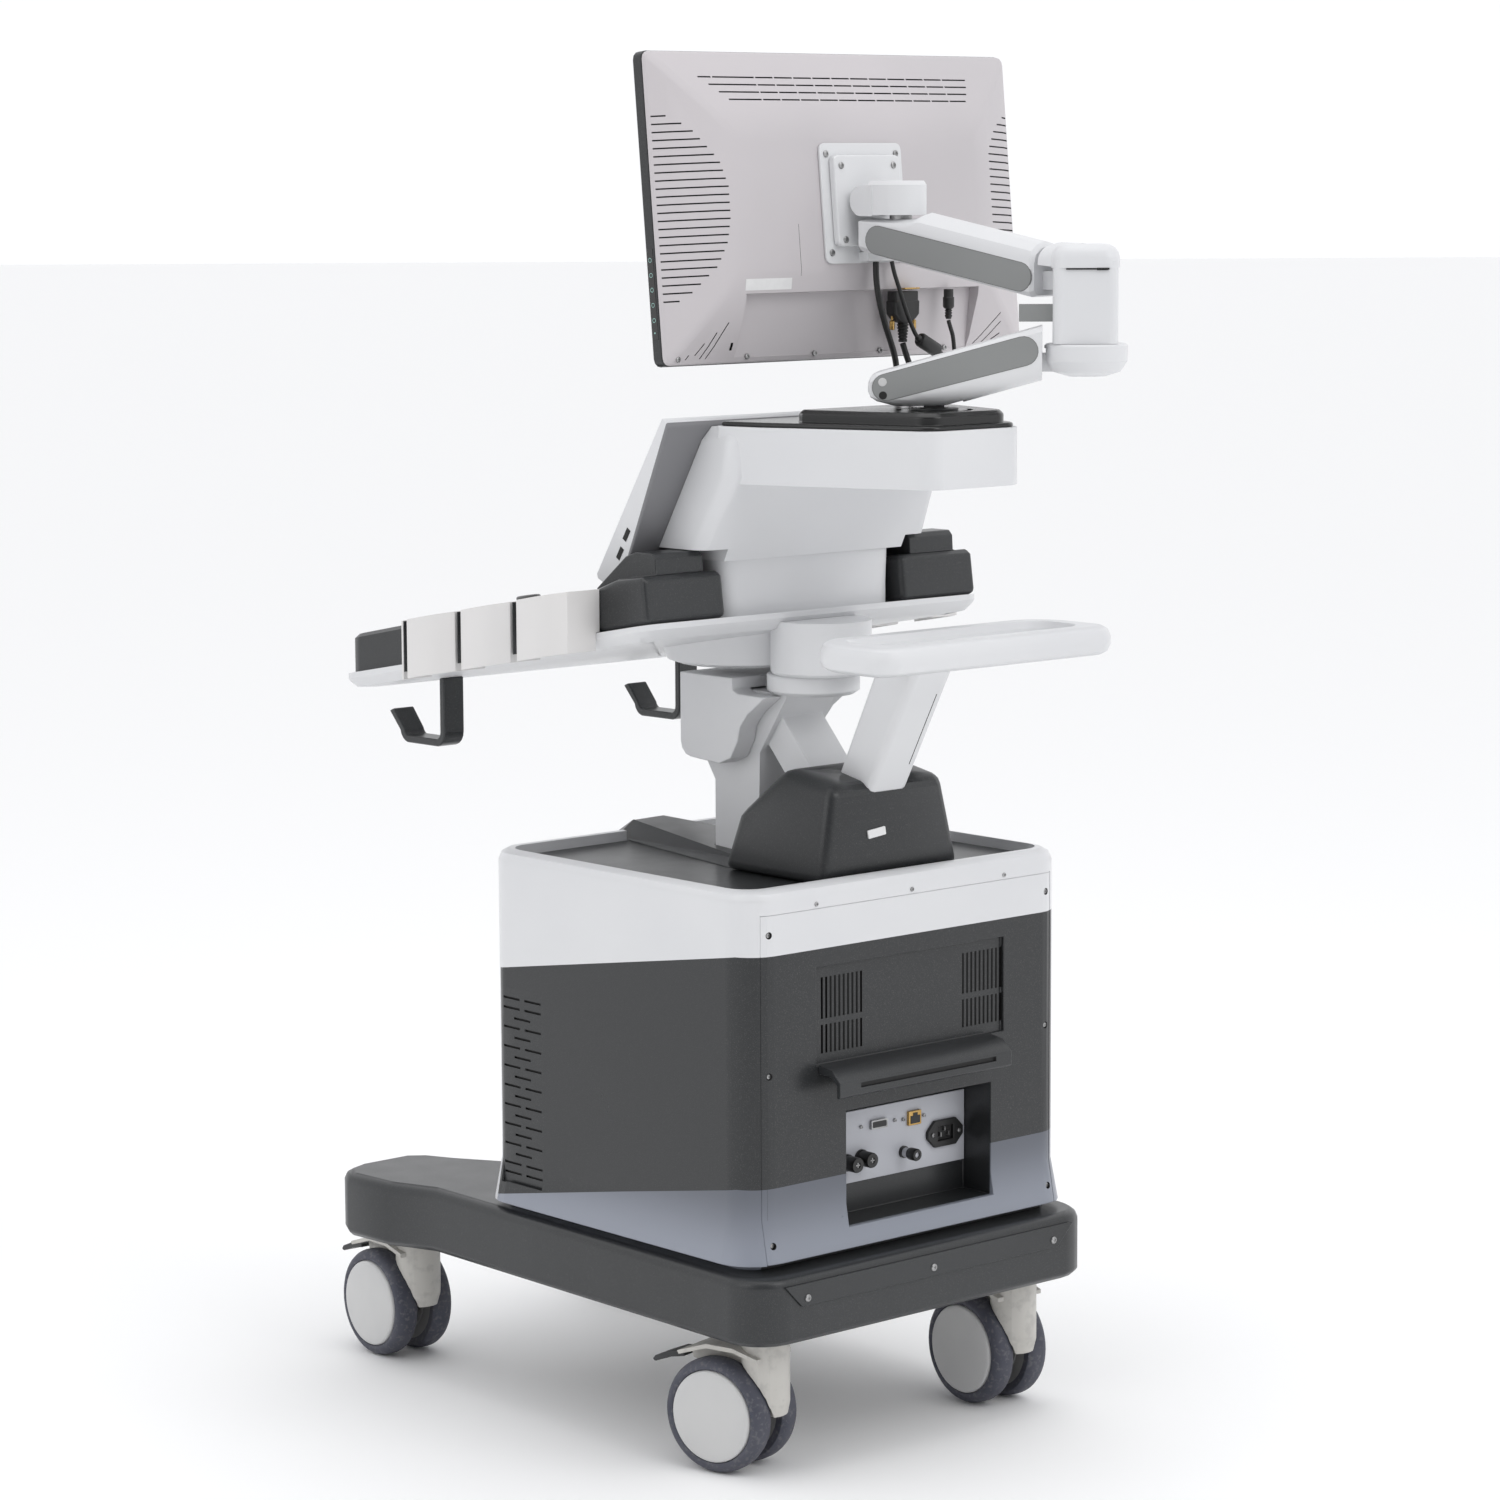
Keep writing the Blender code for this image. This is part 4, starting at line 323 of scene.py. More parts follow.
low = POWER_ROUTE[-1][2] + LEAD_END_GAP
levels = [(low, 0.0027, 0.0027, 0.9), (low + 0.0020, 0.0032, 0.0032, 0.9)]
for rib in range(3):
    z = low + 0.0030 + rib * 0.0026
    levels += [(z, 0.0037, 0.0037, 0.9), (z + 0.0013, 0.0037, 0.0037, 0.9),
               (z + 0.0014, 0.0030, 0.0030, 0.9), (z + 0.0024, 0.0030, 0.0030, 0.9)]
levels += [(low + 0.0110, 0.0044, 0.0044, 0.9), (low + 0.0128, 0.0057, 0.0057, 0.9),
           (low + 0.0225, 0.0057, 0.0057, 0.9), (low + 0.0230, 0.0049, 0.0049, 0.9),
           (low + 0.0310, 0.0049, 0.0049, 0.9)]
power_plug = upright_plug("power_plug_body", POWER_ROUTE, levels, ("power_plug",))

bead_start = CART + Vector((-0.1335, 0.1820, 1.1215))
bead_end = CART + Vector((-0.1600, 0.1820, 1.1080))
bead_axis = (bead_end - bead_start).normalized()
bead_turn = bead_axis.to_track_quat("Z", "Y").to_matrix().to_4x4()
bead_place = Matrix.Translation(bead_start) @ bead_turn
reach = (bead_end - bead_start).length
bead = spun([(0.0024, -0.004), (0.0032, -0.003), (0.0038, 0.0), (0.0066, 0.0008), (0.0075, 0.0025),
             (0.0075, reach - 0.0025), (0.0066, reach - 0.0008), (0.0038, reach),
             (0.0032, reach + 0.003), (0.0024, reach + 0.004)], 24, place=bead_place)
ferrite = as_piece("ferrite_bead", bead, cable_black, "monitor")

lead("video_lead", SIGNAL_ROUTE, SIGNAL_RADIUS, cable_black, "signal_lead")
lead("power_feed", POWER_ROUTE, POWER_RADIUS, cable_black, "power_lead")


# ---- Casters ---------------------------------------------------------------------------
# Twin-wheel casters: a pale nylon fork on a steel stem, two polyurethane tyres moulded on
# grey hubs with snap-on disc covers, and a brake pedal on a pin.

OWNER = {node: body for body, nodes in frame["record"]["behaviour"]["bodies"].items()
         for node in nodes}
# Each stem's place along X and Y, and the angle in degrees that the caster is turned to.
CASTERS = {"rear_right": (0.174, 0.283, 13.7), "rear_left": (-0.174, 0.283, -3.5),
           "front_right": (0.176, -0.291, -2.6), "front_left": (-0.176, -0.291, 4.0)}
CASTER_TRAIL = 0.042
AXLE_HEIGHT = 0.059

fork_grey = moulded("fork_grey", (0.58, 0.565, 0.53, 1.0), (0.53, 0.515, 0.48, 1.0), rough=0.42,
                    wear=(0.40, 0.39, 0.37, 1.0), cloud=9.0)
cover_grey = moulded("cover_grey", (0.60, 0.60, 0.595, 1.0), (0.57, 0.57, 0.57, 1.0), rough=0.36,
                     cloud=12.0)
hub_grey = moulded("hub_grey", grey(0.24), grey(0.19), rough=0.55, cloud=20.0)
tyre_scuffed = moulded("tyre_scuffed", (0.050, 0.053, 0.075, 1.0), (0.072, 0.074, 0.096, 1.0),
                       rough=0.62, rough_swing=0.2, wear=(0.17, 0.17, 0.18, 1.0), grain=500.0,
                       grain_depth=0.00012, cloud=24.0)
pedal_dark = moulded("pedal_dark", grey(0.030, -0.05), grey(0.040, -0.05), rough=0.5, cloud=30.0)


def skin(node, finish, edge=0.0008, segments=2, flat=1.0):
    """A softened copy that stands for a node: flat facets merged and edges rounded."""
    bm = bmesh.new()
    bm.from_mesh(frame["nodes"][node].data)
    bmesh.ops.remove_doubles(bm, verts=bm.verts, dist=2e-6)
    bmesh.ops.dissolve_limit(bm, angle_limit=math.radians(flat), verts=bm.verts, edges=bm.edges)
    return as_piece(f"{node}_form", bm, finish, OWNER[node], (node,), edge, segments)


def ring_body(profile, steps, bm, place):
    """Turn a closed (radius, height) outline into a ring."""
    made = [[bm.verts.new(place @ Vector((radius * math.cos(2 * math.pi * k / steps),
                                          radius * math.sin(2 * math.pi * k / steps), height)))
             for k in range(steps)] for radius, height in profile]
    for low, high in zip(made, made[1:] + made[:1]):
        for i in range(steps):
            j = (i + 1) % steps
            bm.faces.new((low[i], low[j], high[j], high[i]))


# Half sections of one wheel as (radius, distance from the caster's middle plane).
HUB_RIBS = 16
TYRE = [(0.0470, 0.0115), (0.0545, 0.0105), (0.0572, 0.0130), (0.0587, 0.0175), (0.0589, 0.0225),
        (0.0589, 0.0265), (0.0582, 0.0300), (0.0562, 0.0335), (0.0530, 0.0358), (0.0500, 0.0364),
        (0.0478, 0.0356), (0.0472, 0.0330)]
DISC = [(0.0, 0.0392), (0.0200, 0.0390), (0.0380, 0.0385), (0.0440, 0.0380), (0.0458, 0.0374),
        (0.0468, 0.0360), (0.0470, 0.0335), (0.0470, 0.0290), (0.0, 0.0290)]
HUB = [(0.0068, 0.0090), (0.0120, 0.0090), (0.0125, 0.0108), (0.0300, 0.0112), (0.0305, 0.0100),
       (0.0345, 0.0100), (0.0350, 0.0115), (0.0470, 0.0118), (0.0470, 0.0285), (0.0068, 0.0285)]
for name, (x, y, angle) in CASTERS.items():
    stem = (Matrix.Translation(CART + Vector((x, y, 0.0)))
            @ Matrix.Rotation(math.radians(angle), 4, "Z"))
    hub = stem @ Matrix.Translation((0.0, -CASTER_TRAIL, AXLE_HEIGHT))
    tyres, discs, hubs = bmesh.new(), bmesh.new(), bmesh.new()
    for sign in (-1, 1):
        place = hub @ Matrix.Rotation(math.radians(90 * sign), 4, "Y")
        ring_body(TYRE, 56, tyres, place)
        spun(DISC, 48, discs, place)
        ring_body(HUB, 48, hubs, place)
        for k in range(HUB_RIBS):
            rib = place @ Matrix.Rotation(2 * math.pi * k / HUB_RIBS, 4, "Z")
            loft([[(a, b, z) for a, b in ((0.0125, -0.0007), (0.030, -0.0007), (0.030, 0.0007),
                                          (0.0125, 0.0007))] for z in (0.0102, 0.0116)], hubs, rib)
    wheels = f"wheels_{name}"
    as_piece(f"tyres_{name}", tyres, tyre_scuffed, wheels,
             (f"caster_wheels_{name}",), sharp=50.0)
    as_piece(f"disc_covers_{name}", discs, cover_grey, wheels, sharp=40.0)
    as_piece(f"wheel_hubs_{name}", hubs, hub_grey, wheels, sharp=30.0)
    skin(f"caster_fork_{name}", fork_grey, 0.0012, 3)
    skin(f"brake_pedal_{name}", pedal_dark, 0.0004)


# ---- Base ------------------------------------------------------------------------------
# A black ABS moulding over a folded steel frame, with fine charcoal speckle.  Its rear
# cover is a thin strip held by three screws.

CHARCOAL = grey(0.021, -0.07)
charcoal = moulded("charcoal", CHARCOAL, grey(0.029, -0.07), rough=0.32, specks=grey(0.085),
                   grain=1100.0, grain_depth=0.00010)
frame_steel = moulded("frame_steel", grey(0.42), grey(0.36), rough=0.36, metallic=1.0, cloud=20.0)


def carve(target, bm, lining):
    """Cut a body out of a piece, and line the cut with the finish given, which for slots and holes
    is a near-black painted shade.
    """
    bmesh.ops.recalc_face_normals(bm, faces=bm.faces)
    mesh = bpy.data.meshes.new("cut")
    bm.to_mesh(mesh)
    bm.free()
    mesh.materials.append(lining)
    tool = bpy.data.objects.new("cut", mesh)
    bpy.context.collection.objects.link(tool)
    for step in [step for step in target.modifiers if step.type == "WEIGHTED_NORMAL"]:
        target.modifiers.remove(step)
    step = target.modifiers.new("cut", "BOOLEAN")
    step.operation = "DIFFERENCE"
    step.solver = "EXACT"
    step.material_mode = "TRANSFER"
    step.object = tool
    bpy.context.view_layer.update()
    graph = bpy.context.evaluated_depsgraph_get()
    target.data = bpy.data.meshes.new_from_object(target.evaluated_get(graph))
    target.modifiers.clear()
    bpy.data.objects.remove(tool)
    target.data.set_sharp_from_angle(angle=math.radians(34))
    target.modifiers.new("even_shading", "WEIGHTED_NORMAL").keep_sharp = True


def brick(bm, x0, x1, y0, y1, z0, z1, place):
    """A plain block, used as a cut or as a bar."""
    loft([[(x0, y0, z), (x1, y0, z), (x1, y1, z), (x0, y1, z)] for z in (z0, z1)], bm, place)


def tile(bm, outline, y0, y1, place):
    """Extrude an upright (x, z) outline from one depth to another."""
    loft([[(x, y, z) for x, z in outline] for y in (y0, y1)], bm, place)


REARWARD = Matrix.Rotation(math.radians(-90), 4, "X")     # turns Z to face the rear
IN_CART = Matrix.Translation(CART)
# Near-black painted shade: it lines cut slots, wells, grooves and holes, and makes small dark
# marks, where the real moulding only lies in shade.
hole_shade = moulded("hole_shade", grey(0.004), grey(0.007), rough=0.6)
screw_steel = moulded("screw_steel", grey(0.42), grey(0.32), rough=0.30, metallic=1.0,
                      grain=300.0, cloud=90.0)


def screw(bm, place, radius=0.003):
    """Pan-head screw with a cross recess, head towards the place's own Z."""
    spun([(0.0, -0.0010), (radius, -0.0010), (radius, 0.0003), (radius * 0.86, 0.0009),
          (radius * 0.55, 0.0012), (radius * 0.50, 0.0012), (radius * 0.46, 0.0004),
          (0.0, 0.0004)], 20, bm, place)
    for turn in (45, 135):
        arm = place @ Matrix.Rotation(math.radians(turn), 4, "Z")
        brick(bm, -radius * 0.46, radius * 0.46, -radius * 0.10, radius * 0.10,
              0.0003, 0.0006, arm)


skin("base_shell", charcoal, 0.0020, 3)
skin("base_frame", frame_steel, 0.0006)
skin("base_rear_cover", charcoal, 0.0006)
strip_screws = bmesh.new()
for x, z in ((-0.172, 0.191), (0.0, 0.192), (0.172, 0.191)):
    screw(strip_screws, IN_CART @ Matrix.Translation((x, 0.3447, z)) @ REARWARD, 0.0038)
as_piece("base_cover_screws", strip_screws, screw_steel, "cart")


# ---- Cabinet ---------------------------------------------------------------------------
# Painted sheet panels round a steel chassis: satin white above, charcoal below with a blue-grey
# painted reflection on the skirt, a black moulded deck plate, and a rear cover screwed on.

CABINET_REAR = 0.312
FACE_X = 0.220
DARK_FRONT = -0.085                                  # where the dark paint starts, along Y
LINE_START, LINE_RISE, LINE_TOP = 0.470, 0.163, 0.531          # white to dark
CREASE_START, CREASE_RISE, CREASE_TOP = 0.229, 0.184, 0.298    # dark to the skirt's painted reflection
OUTSIDE_FROM = 0.195                                 # nearer the middle is inside the pocket
SATIN_WHITE = (0.72, 0.725, 0.735, 1.0)
satin_white = moulded("satin_white", SATIN_WHITE, (0.69, 0.695, 0.71, 1.0), rough=0.40,
                      grain=1000.0, grain_depth=0.00005)


def two_tone_and_skirt_reflection(maker, place, shade):
    """White above a slanting line and along the front, dark below, with a painted reflection on
    the skirt that is paler lower down.
    """
    parts = [maker.node("SeparateXYZ", sockets={0: place}, out=k) for k in range(3)]
    depth = parts[1] - CART.y
    height = parts[2]
    behind_front = depth - DARK_FRONT
    line = behind_front * LINE_RISE + LINE_START
    dark = (height < maker.maths("MINIMUM", line, LINE_TOP)) * (depth > DARK_FRONT)
    crease = behind_front * CREASE_RISE + CREASE_START
    off_centre = maker.maths("ABSOLUTE", parts[0] - CART.x)
    outside = maker.maths("MAXIMUM", depth > CABINET_REAR - 0.0015, off_centre > OUTSIDE_FROM)
    skirt = (height < maker.maths("MINIMUM", crease, CREASE_TOP)) * dark * outside
    fine = maker.node("TexNoise", sockets={"Vector": place, "Scale": 1500.0, "Detail": 1.0})
    night = (fine.span(0.60, 0.72) * 0.8).mix(CHARCOAL, grey(0.085))
    # Painted reflection: the skirt gets a blue-grey that grows paler lower down, standing for the
    # room's light reflected off the flared skirt.
    painted_reflection = height.span(0.222, 0.300).mix((0.27, 0.29, 0.34, 1.0), (0.115, 0.125, 0.15, 1.0))
    return skirt.mix(dark.mix(shade, night), painted_reflection)


cabinet_paint_and_reflection = moulded("cabinet_paint_and_reflection", SATIN_WHITE, (0.69, 0.695, 0.71, 1.0), rough=0.30,
                       grain=1000.0, grain_depth=0.00006, painted=two_tone_and_skirt_reflection)

shell = skin("cabinet_shell", cabinet_paint_and_reflection, 0.0012, 3)
VENT_ROWS, VENT_TOP, VENT_PITCH = 19, 0.4405, 0.01033
SHORT_ROWS = range(2, 17, 2)
for side in (-1, 1):
    panel = bmesh.new()
    brick(panel, side * (FACE_X - 0.0005), side * (FACE_X + 0.004), -0.0795, -0.0105,
          0.2435, 0.4515, IN_CART)
    carve(shell, panel, cabinet_paint_and_reflection)
    slots = bmesh.new()
    for row in range(VENT_ROWS):
        z = VENT_TOP - row * VENT_PITCH
        spans = ((-0.0774, -0.0497), (-0.0418, -0.0146))
        if row in SHORT_ROWS:
            spans = ((-0.0593, -0.0322),)
        for y0, y1 in spans:
            brick(slots, side * (FACE_X - 0.003), side * (FACE_X + 0.002), y0, y1,
                  z - 0.0012, z + 0.0012, IN_CART)
    carve(shell, slots, hole_shade)
skin("deck_plate", charcoal, 0.0008)

cover = skin("rear_cover", cabinet_paint_and_reflection, 0.0012, 3)
grid = bmesh.new()
for x0 in (0.063, -0.132):
    for z0, z1 in ((0.459, 0.501), (0.424, 0.453)):
        for k in range(10):
            x = x0 + 0.0020 + k * 0.0059
            brick(grid, x, x + 0.0027, CABINET_REAR - 0.0070, CABINET_REAR - 0.002, z0, z1,
                  IN_CART)
carve(cover, grid, hole_shade)
wells = bmesh.new()
well_screws = bmesh.new()
for x in (-0.192, 0.192):
    for z in (0.552, 0.411, 0.241):
        stands_out = 0.004 if z < 0.3 else 0.0        # lower down the cover stands out
        spot = (IN_CART @ Matrix.Translation((x, CABINET_REAR + stands_out, z)) @ REARWARD)
        spun([(0.0, -0.0035), (0.0036, -0.0035), (0.0036, 0.004), (0.0, 0.004)], 20, wells, spot)
        screw(well_screws, spot @ Matrix.Translation((0.0, 0.0, -0.0030)), 0.0027)
carve(cover, wells, hole_shade)
as_piece("cover_well_screws", well_screws, screw_steel, "cart")
seam_screws = bmesh.new()
for x in (-0.130, 0.0, 0.130):
    spot = IN_CART @ Matrix.Translation((x, CABINET_REAR + 0.0002, 0.5765)) @ REARWARD
    screw(seam_screws, spot, 0.0024)
as_piece("cover_seam_screws", seam_screws, screw_steel, "cart")

grip = skin("pull_grip", charcoal, 0.0008)
groove = bmesh.new()
tile(groove, [(-0.088, 0.3925), (0.100, 0.3925), (0.100, 0.3975), (-0.088, 0.3975)],
     CABINET_REAR + 0.0300, CABINET_REAR + 0.040, IN_CART)
carve(grip, groove, hole_shade)


# ---- Port plate ------------------------------------------------------------------------
# A silk grey steel panel screwed in behind the cover's pocket.  It holds a video socket, a
# network socket, two fuse holders, an earth post and the mains inlet.

port_grey = moulded("port_grey", (0.52, 0.53, 0.57, 1.0), (0.48, 0.49, 0.53, 1.0), rough=0.42)
skin("port_panel", port_grey, 0.0003)
inlet_black = moulded("inlet_black", grey(0.010), grey(0.014), rough=0.38, cloud=40.0)
skin("mains_inlet", inlet_black, 0.0006)
INLET_Y = CABINET_REAR - 0.041                # bottom of the inlet's recess
PLATE_Y = INLET_Y + 0.0023                    # face of the plate
metal, blacks, golds = bmesh.new(), bmesh.new(), bmesh.new()
for x, z in ((-0.0115, 0.3310), (0.0355, 0.3310), (-0.0525, 0.3300), (-0.0235, 0.3300)):
    screw(metal, IN_CART @ Matrix.Translation((x, PLATE_Y + 0.0014, z)) @ REARWARD, 0.0019)
for x in (-0.0995, -0.0625):
    screw(metal, IN_CART @ Matrix.Translation((x, PLATE_Y + 0.0044, 0.308)) @ REARWARD, 0.0024)
tile(metal, rounded(0.001, 0.023, 0.3263, 0.3357, 0.0012), PLATE_Y, PLATE_Y + 0.0036, IN_CART)
tile(blacks, rounded(0.0025, 0.0215, 0.3280, 0.3342, 0.0012), PLATE_Y + 0.0030, PLATE_Y + 0.0038,
     IN_CART)
tile(golds, [(-0.0466, 0.3226), (-0.0294, 0.3226), (-0.0294, 0.3374), (-0.0466, 0.3374)],
     PLATE_Y, PLATE_Y + 0.0035, IN_CART)
tile(blacks, [(-0.0445, 0.3245), (-0.0315, 0.3245), (-0.0315, 0.3325), (-0.0350, 0.3325),
              (-0.0350, 0.3355), (-0.0410, 0.3355), (-0.0410, 0.3325), (-0.0445, 0.3325)],
     PLATE_Y + 0.0030, PLATE_Y + 0.0040, IN_CART)
for x, z in ((0.055, 0.297), (0.035, 0.299)):
    spot = IN_CART @ Matrix.Translation((x, PLATE_Y, z)) @ REARWARD
    spun([(0.0, 0.0), (0.0088, 0.0), (0.0088, 0.0024), (0.0080, 0.0034), (0.0080, 0.0165),
          (0.0074, 0.0180), (0.0032, 0.0182), (0.0028, 0.0172), (0.0, 0.0172)], 28, blacks, spot)
    brick(metal, -0.0026, 0.0026, -0.0005, 0.0005, 0.0170, 0.0176, spot)
    brick(metal, -0.0005, 0.0005, -0.0026, 0.0026, 0.0170, 0.0176, spot)
spot = IN_CART @ Matrix.Translation((-0.024, PLATE_Y, 0.296)) @ REARWARD
spun([(0.0, 0.0), (0.0062, 0.0), (0.0062, 0.0030), (0.0046, 0.0034), (0.0046, 0.0100),
      (0.0060, 0.0104), (0.0064, 0.0120), (0.0064, 0.0204), (0.0058, 0.0216), (0.0030, 0.0218),
      (0.0030, 0.0190), (0.0, 0.0190)], 28, blacks, spot)
for x, z in ((-0.0865, 0.3065), (-0.0755, 0.3065), (-0.0810, 0.3120)):
    brick(metal, x - 0.0006, x + 0.0006, INLET_Y, CABINET_REAR - 0.036,
          z - 0.0022, z + 0.0022, IN_CART)
as_piece("port_screws_and_pins", metal, screw_steel, "cart")
as_piece("port_posts", blacks, inlet_black, "cart")
as_piece("port_gold_shells", golds, brass, "cart", edge=0.0003)
skin("electronics_chassis", frame_steel, 0.0006)
skin("power_supply", frame_steel, 0.0010)


# ---- Tower, handle and column ----------------------------------------------------------
# A black moulded housing carries the white push handle's post; behind the console's front
# a cast and painted column rises to the swivel flange, with a moulded shroud round it.

skin("tower_housing", charcoal, 0.0)
label_white = moulded("label_white", grey(0.80), grey(0.76), rough=0.5, cloud=80.0)
tag = bmesh.new()
lean = Matrix.Translation((0.020, 0.2815, 0.6330)) @ Matrix.Rotation(math.radians(4.0), 4, "X")
tile(tag, rounded(-0.0120, 0.0120, -0.0042, 0.0042, 0.001), -0.0010, 0.0006,
     IN_CART @ lean @ Matrix.Rotation(math.radians(6), 4, "Y"))
as_piece("blank_tag", tag, label_white, "cart")
skin("deck_ramp", charcoal, 0.0010)
post = skin("handle_post", satin_white, 0.0008)
POST_LEAN = 0.5447                            # how far back the post leans, per height
channel = bmesh.new()
loft([[(x, 0.285 + (z - 0.690) * POST_LEAN + step, z)
       for x, step in ((-0.0162, -0.0012), (-0.0151, -0.0012), (-0.0151, 0.004),
                       (-0.0162, 0.004))] for z in (0.700, 0.775)], channel, IN_CART)
carve(post, channel, hole_shade)
skin("push_handle", satin_white, 0.0010, 3)
skin("column", satin_white, 0.0015, 3)
skin("column_shroud", satin_white, 0.0012, 3)


# ---- Console ---------------------------------------------------------------------------
# White ABS shells below and behind, charcoal covers and control panel, a leaning touch
# display with a glass front, and probe cups moulded in white on both sides.

glass_black = moulded("glass_black", grey(0.006), grey(0.008), rough=0.06, rough_swing=0.03,
                      grain_depth=0.0, coat=0.5)
ball_steel = moulded("ball_steel", grey(0.55), grey(0.50), rough=0.25, metallic=0.6, cloud=60.0)
cup_cream = moulded("cup_cream", (0.74, 0.725, 0.715, 1.0), (0.71, 0.70, 0.695, 1.0), rough=0.42)
key_grey = moulded("key_grey", grey(0.20), grey(0.18), rough=0.45, cloud=30.0)

skin("console_tray", satin_white, 0.0012, 3)
skin("control_panel", charcoal, 0.0010)
skin("trackball", ball_steel, 0.0)
skin("gain_knob", key_grey, 0.0008)
skin("freeze_key", key_grey, 0.0006)


def grey_back_and_gap_shade(maker, place, shade):
    """The display's back is painted grey, partly the back cover's own colour and partly painted
    shade for the gap against the housing; its sides and front edge stay white.
    """
    depth = maker.node("SeparateXYZ", sockets={0: place}, out=1) - CART.y
    height = maker.node("SeparateXYZ", sockets={0: place}, out=2)
    plane = (height - 0.915) * 0.453 + 0.105
    return (depth > plane - 0.0035).mix(shade, (0.20, 0.20, 0.21, 1.0))


# White display moulding whose back carries grey that is partly painted shade for the gap to the
# housing.
display_white_and_gap_shade = moulded("display_white_and_gap_shade", SATIN_WHITE, (0.69, 0.695, 0.71, 1.0), rough=0.40,
                        grain=1000.0, grain_depth=0.00005, painted=grey_back_and_gap_shade)
skin("touch_shell", display_white_and_gap_shade, 0.0030, 3)
skin("touch_glass", glass_black, 0.0003)
skin("rear_housing", satin_white, 0.0020, 3)
gloss_black = moulded("gloss_black", grey(0.010), grey(0.014), rough=0.22, grain_depth=0.00002)
plinth = skin("shelf_plate", gloss_black, 0.0012, 3)
# The monitor arm's three upright axes, along X and Y.
PEDESTAL, ELBOW, HEAD = Vector((0.0, 0.344)), Vector((-0.105, 0.450)), Vector((-0.070, 0.222))
ARC_OUTER, ARC_INNER, ARC_SWEEP, ARC_STEPS = 0.0385, 0.0330, 140, 24
arcs = bmesh.new()
for start in (20, 200):
    turns = [math.radians(start + ARC_SWEEP * k / ARC_STEPS) for k in range(ARC_STEPS + 1)]
    ring = [(PEDESTAL.x + ARC_OUTER * math.cos(turn), PEDESTAL.y + ARC_OUTER * math.sin(turn))
            for turn in turns]
    ring += [(PEDESTAL.x + ARC_INNER * math.cos(turn), PEDESTAL.y + ARC_INNER * math.sin(turn))
             for turn in reversed(turns)]
    loft([[(x, y, z) for x, y in ring] for z in (1.0565, 1.064)], arcs, IN_CART)
carve(plinth, arcs, hole_shade)
# The display's ports are thin bricks of painted shade.
ports = bmesh.new()
display_lean = math.atan2(0.104, 0.161)
for y, z in ((0.0985, 0.9330), (0.0880, 0.9135)):
    place = IN_CART @ Matrix.Translation((0.1921, y, z)) @ Matrix.Rotation(-display_lean, 4, "X")
    brick(ports, -0.0006, 0.0004, -0.0030, 0.0030, -0.0068, 0.0068, place)
as_piece("display_ports", ports, hole_shade, "console", edge=0.0002)
CUPS, CUP_PITCH, CUPS_FRONT = 3, 0.092, -0.178
CUP_BACK, CUP_FACE = 0.2306, 0.2688           # the cups' two walls, along X
TRAY_SLOPE = 0.18


def cup_height(y, lift):
    """Height over the sloping tray at a depth."""
    return 0.757 + TRAY_SLOPE * (y + 0.345) + lift


for side in ("left", "right"):
    skin(f"side_cover_{side}", charcoal, 0.0012)
    skin(f"probe_holder_{side}", cup_cream, 0.0012, 3)
    sign = 1 if side == "right" else -1
    # Charcoal boards along each cup's back and front walls are painted shade, darkening the inside
    # of the cream cups where shade falls.
    cup_shade_boards = bmesh.new()
    for cup in range(CUPS):
        front = CUPS_FRONT + cup * CUP_PITCH
        ring = [(front + 0.004, -0.010), (front + 0.088, -0.010), (front + 0.088, 0.0425),
                (front + 0.004, 0.0425)]
        loft([[(sign * x, y, cup_height(y, lift)) for y, lift in ring]
              for x in (0.2295, CUP_BACK)], cup_shade_boards, IN_CART)
        ring = [(CUP_BACK, -0.010), (CUP_FACE, -0.010), (CUP_FACE, 0.0430), (CUP_BACK, 0.0430)]
        loft([[(sign * x, y, cup_height(y, lift)) for x, lift in ring]
              for y in (front + 0.0031, front + 0.0041)], cup_shade_boards, IN_CART)
    as_piece(f"cup_shade_board_{side}", cup_shade_boards, charcoal, "console")
    skin(f"lead_hook_{side}", charcoal, 0.0015)


# ---- Monitor arm -----------------------------------------------------------------------
# Die-cast segments with moulded white casings, grey inlays on their flanks, and a round
# elbow between them.

skin("arm_bracket", charcoal, 0.0003)
skin("lower_arm", satin_white, 0.0025, 3)
skin("elbow_foot", satin_white, 0.0012, 3)
skin("elbow_block", satin_white, 0.0045, 4)
skin("upper_arm", satin_white, 0.0025, 3)

inlay_grey = moulded("inlay_grey", (0.255, 0.262, 0.260, 1.0), (0.235, 0.242, 0.240, 1.0),
                     rough=0.46, grain=900.0, grain_depth=0.00006)
seam_grey = moulded("seam_grey", grey(0.16), grey(0.14), rough=0.6)


def arm_place(start, end):
    """Matrix whose X runs along an arm, Y across it to the near side, and Z is height."""
    along = (end - start).normalized()
    across_arm = Vector((along.y, -along.x))
    return IN_CART @ Matrix(((along.x, across_arm.x, 0, start.x),
                             (along.y, across_arm.y, 0, start.y), (0, 0, 1, 0), (0, 0, 0, 1)))


def stadium(low_start, high_start, low_end, high_end, grow, steps=10):
    """Round-ended strip between two stations given as (distance, height)."""
    first = (Vector(low_start) + Vector(high_start)) / 2
    last = (Vector(low_end) + Vector(high_end)) / 2
    run = (last - first).normalized()
    side = Vector((-run.y, run.x))
    r0 = (Vector(high_start) - Vector(low_start)).dot(side) / 2 + grow
    r1 = (Vector(high_end) - Vector(low_end)).dot(side) / 2 + grow
    loop = []
    for k in range(steps + 1):
        turn = math.pi * (k / steps) - math.pi / 2
        loop.append(last + run * r1 * math.cos(turn) + side * r1 * math.sin(turn))
    for k in range(steps + 1):
        turn = math.pi * (k / steps) + math.pi / 2
        loop.append(first + run * r0 * math.cos(turn) + side * r0 * math.sin(turn))
    return [(p.x, p.y) for p in loop]


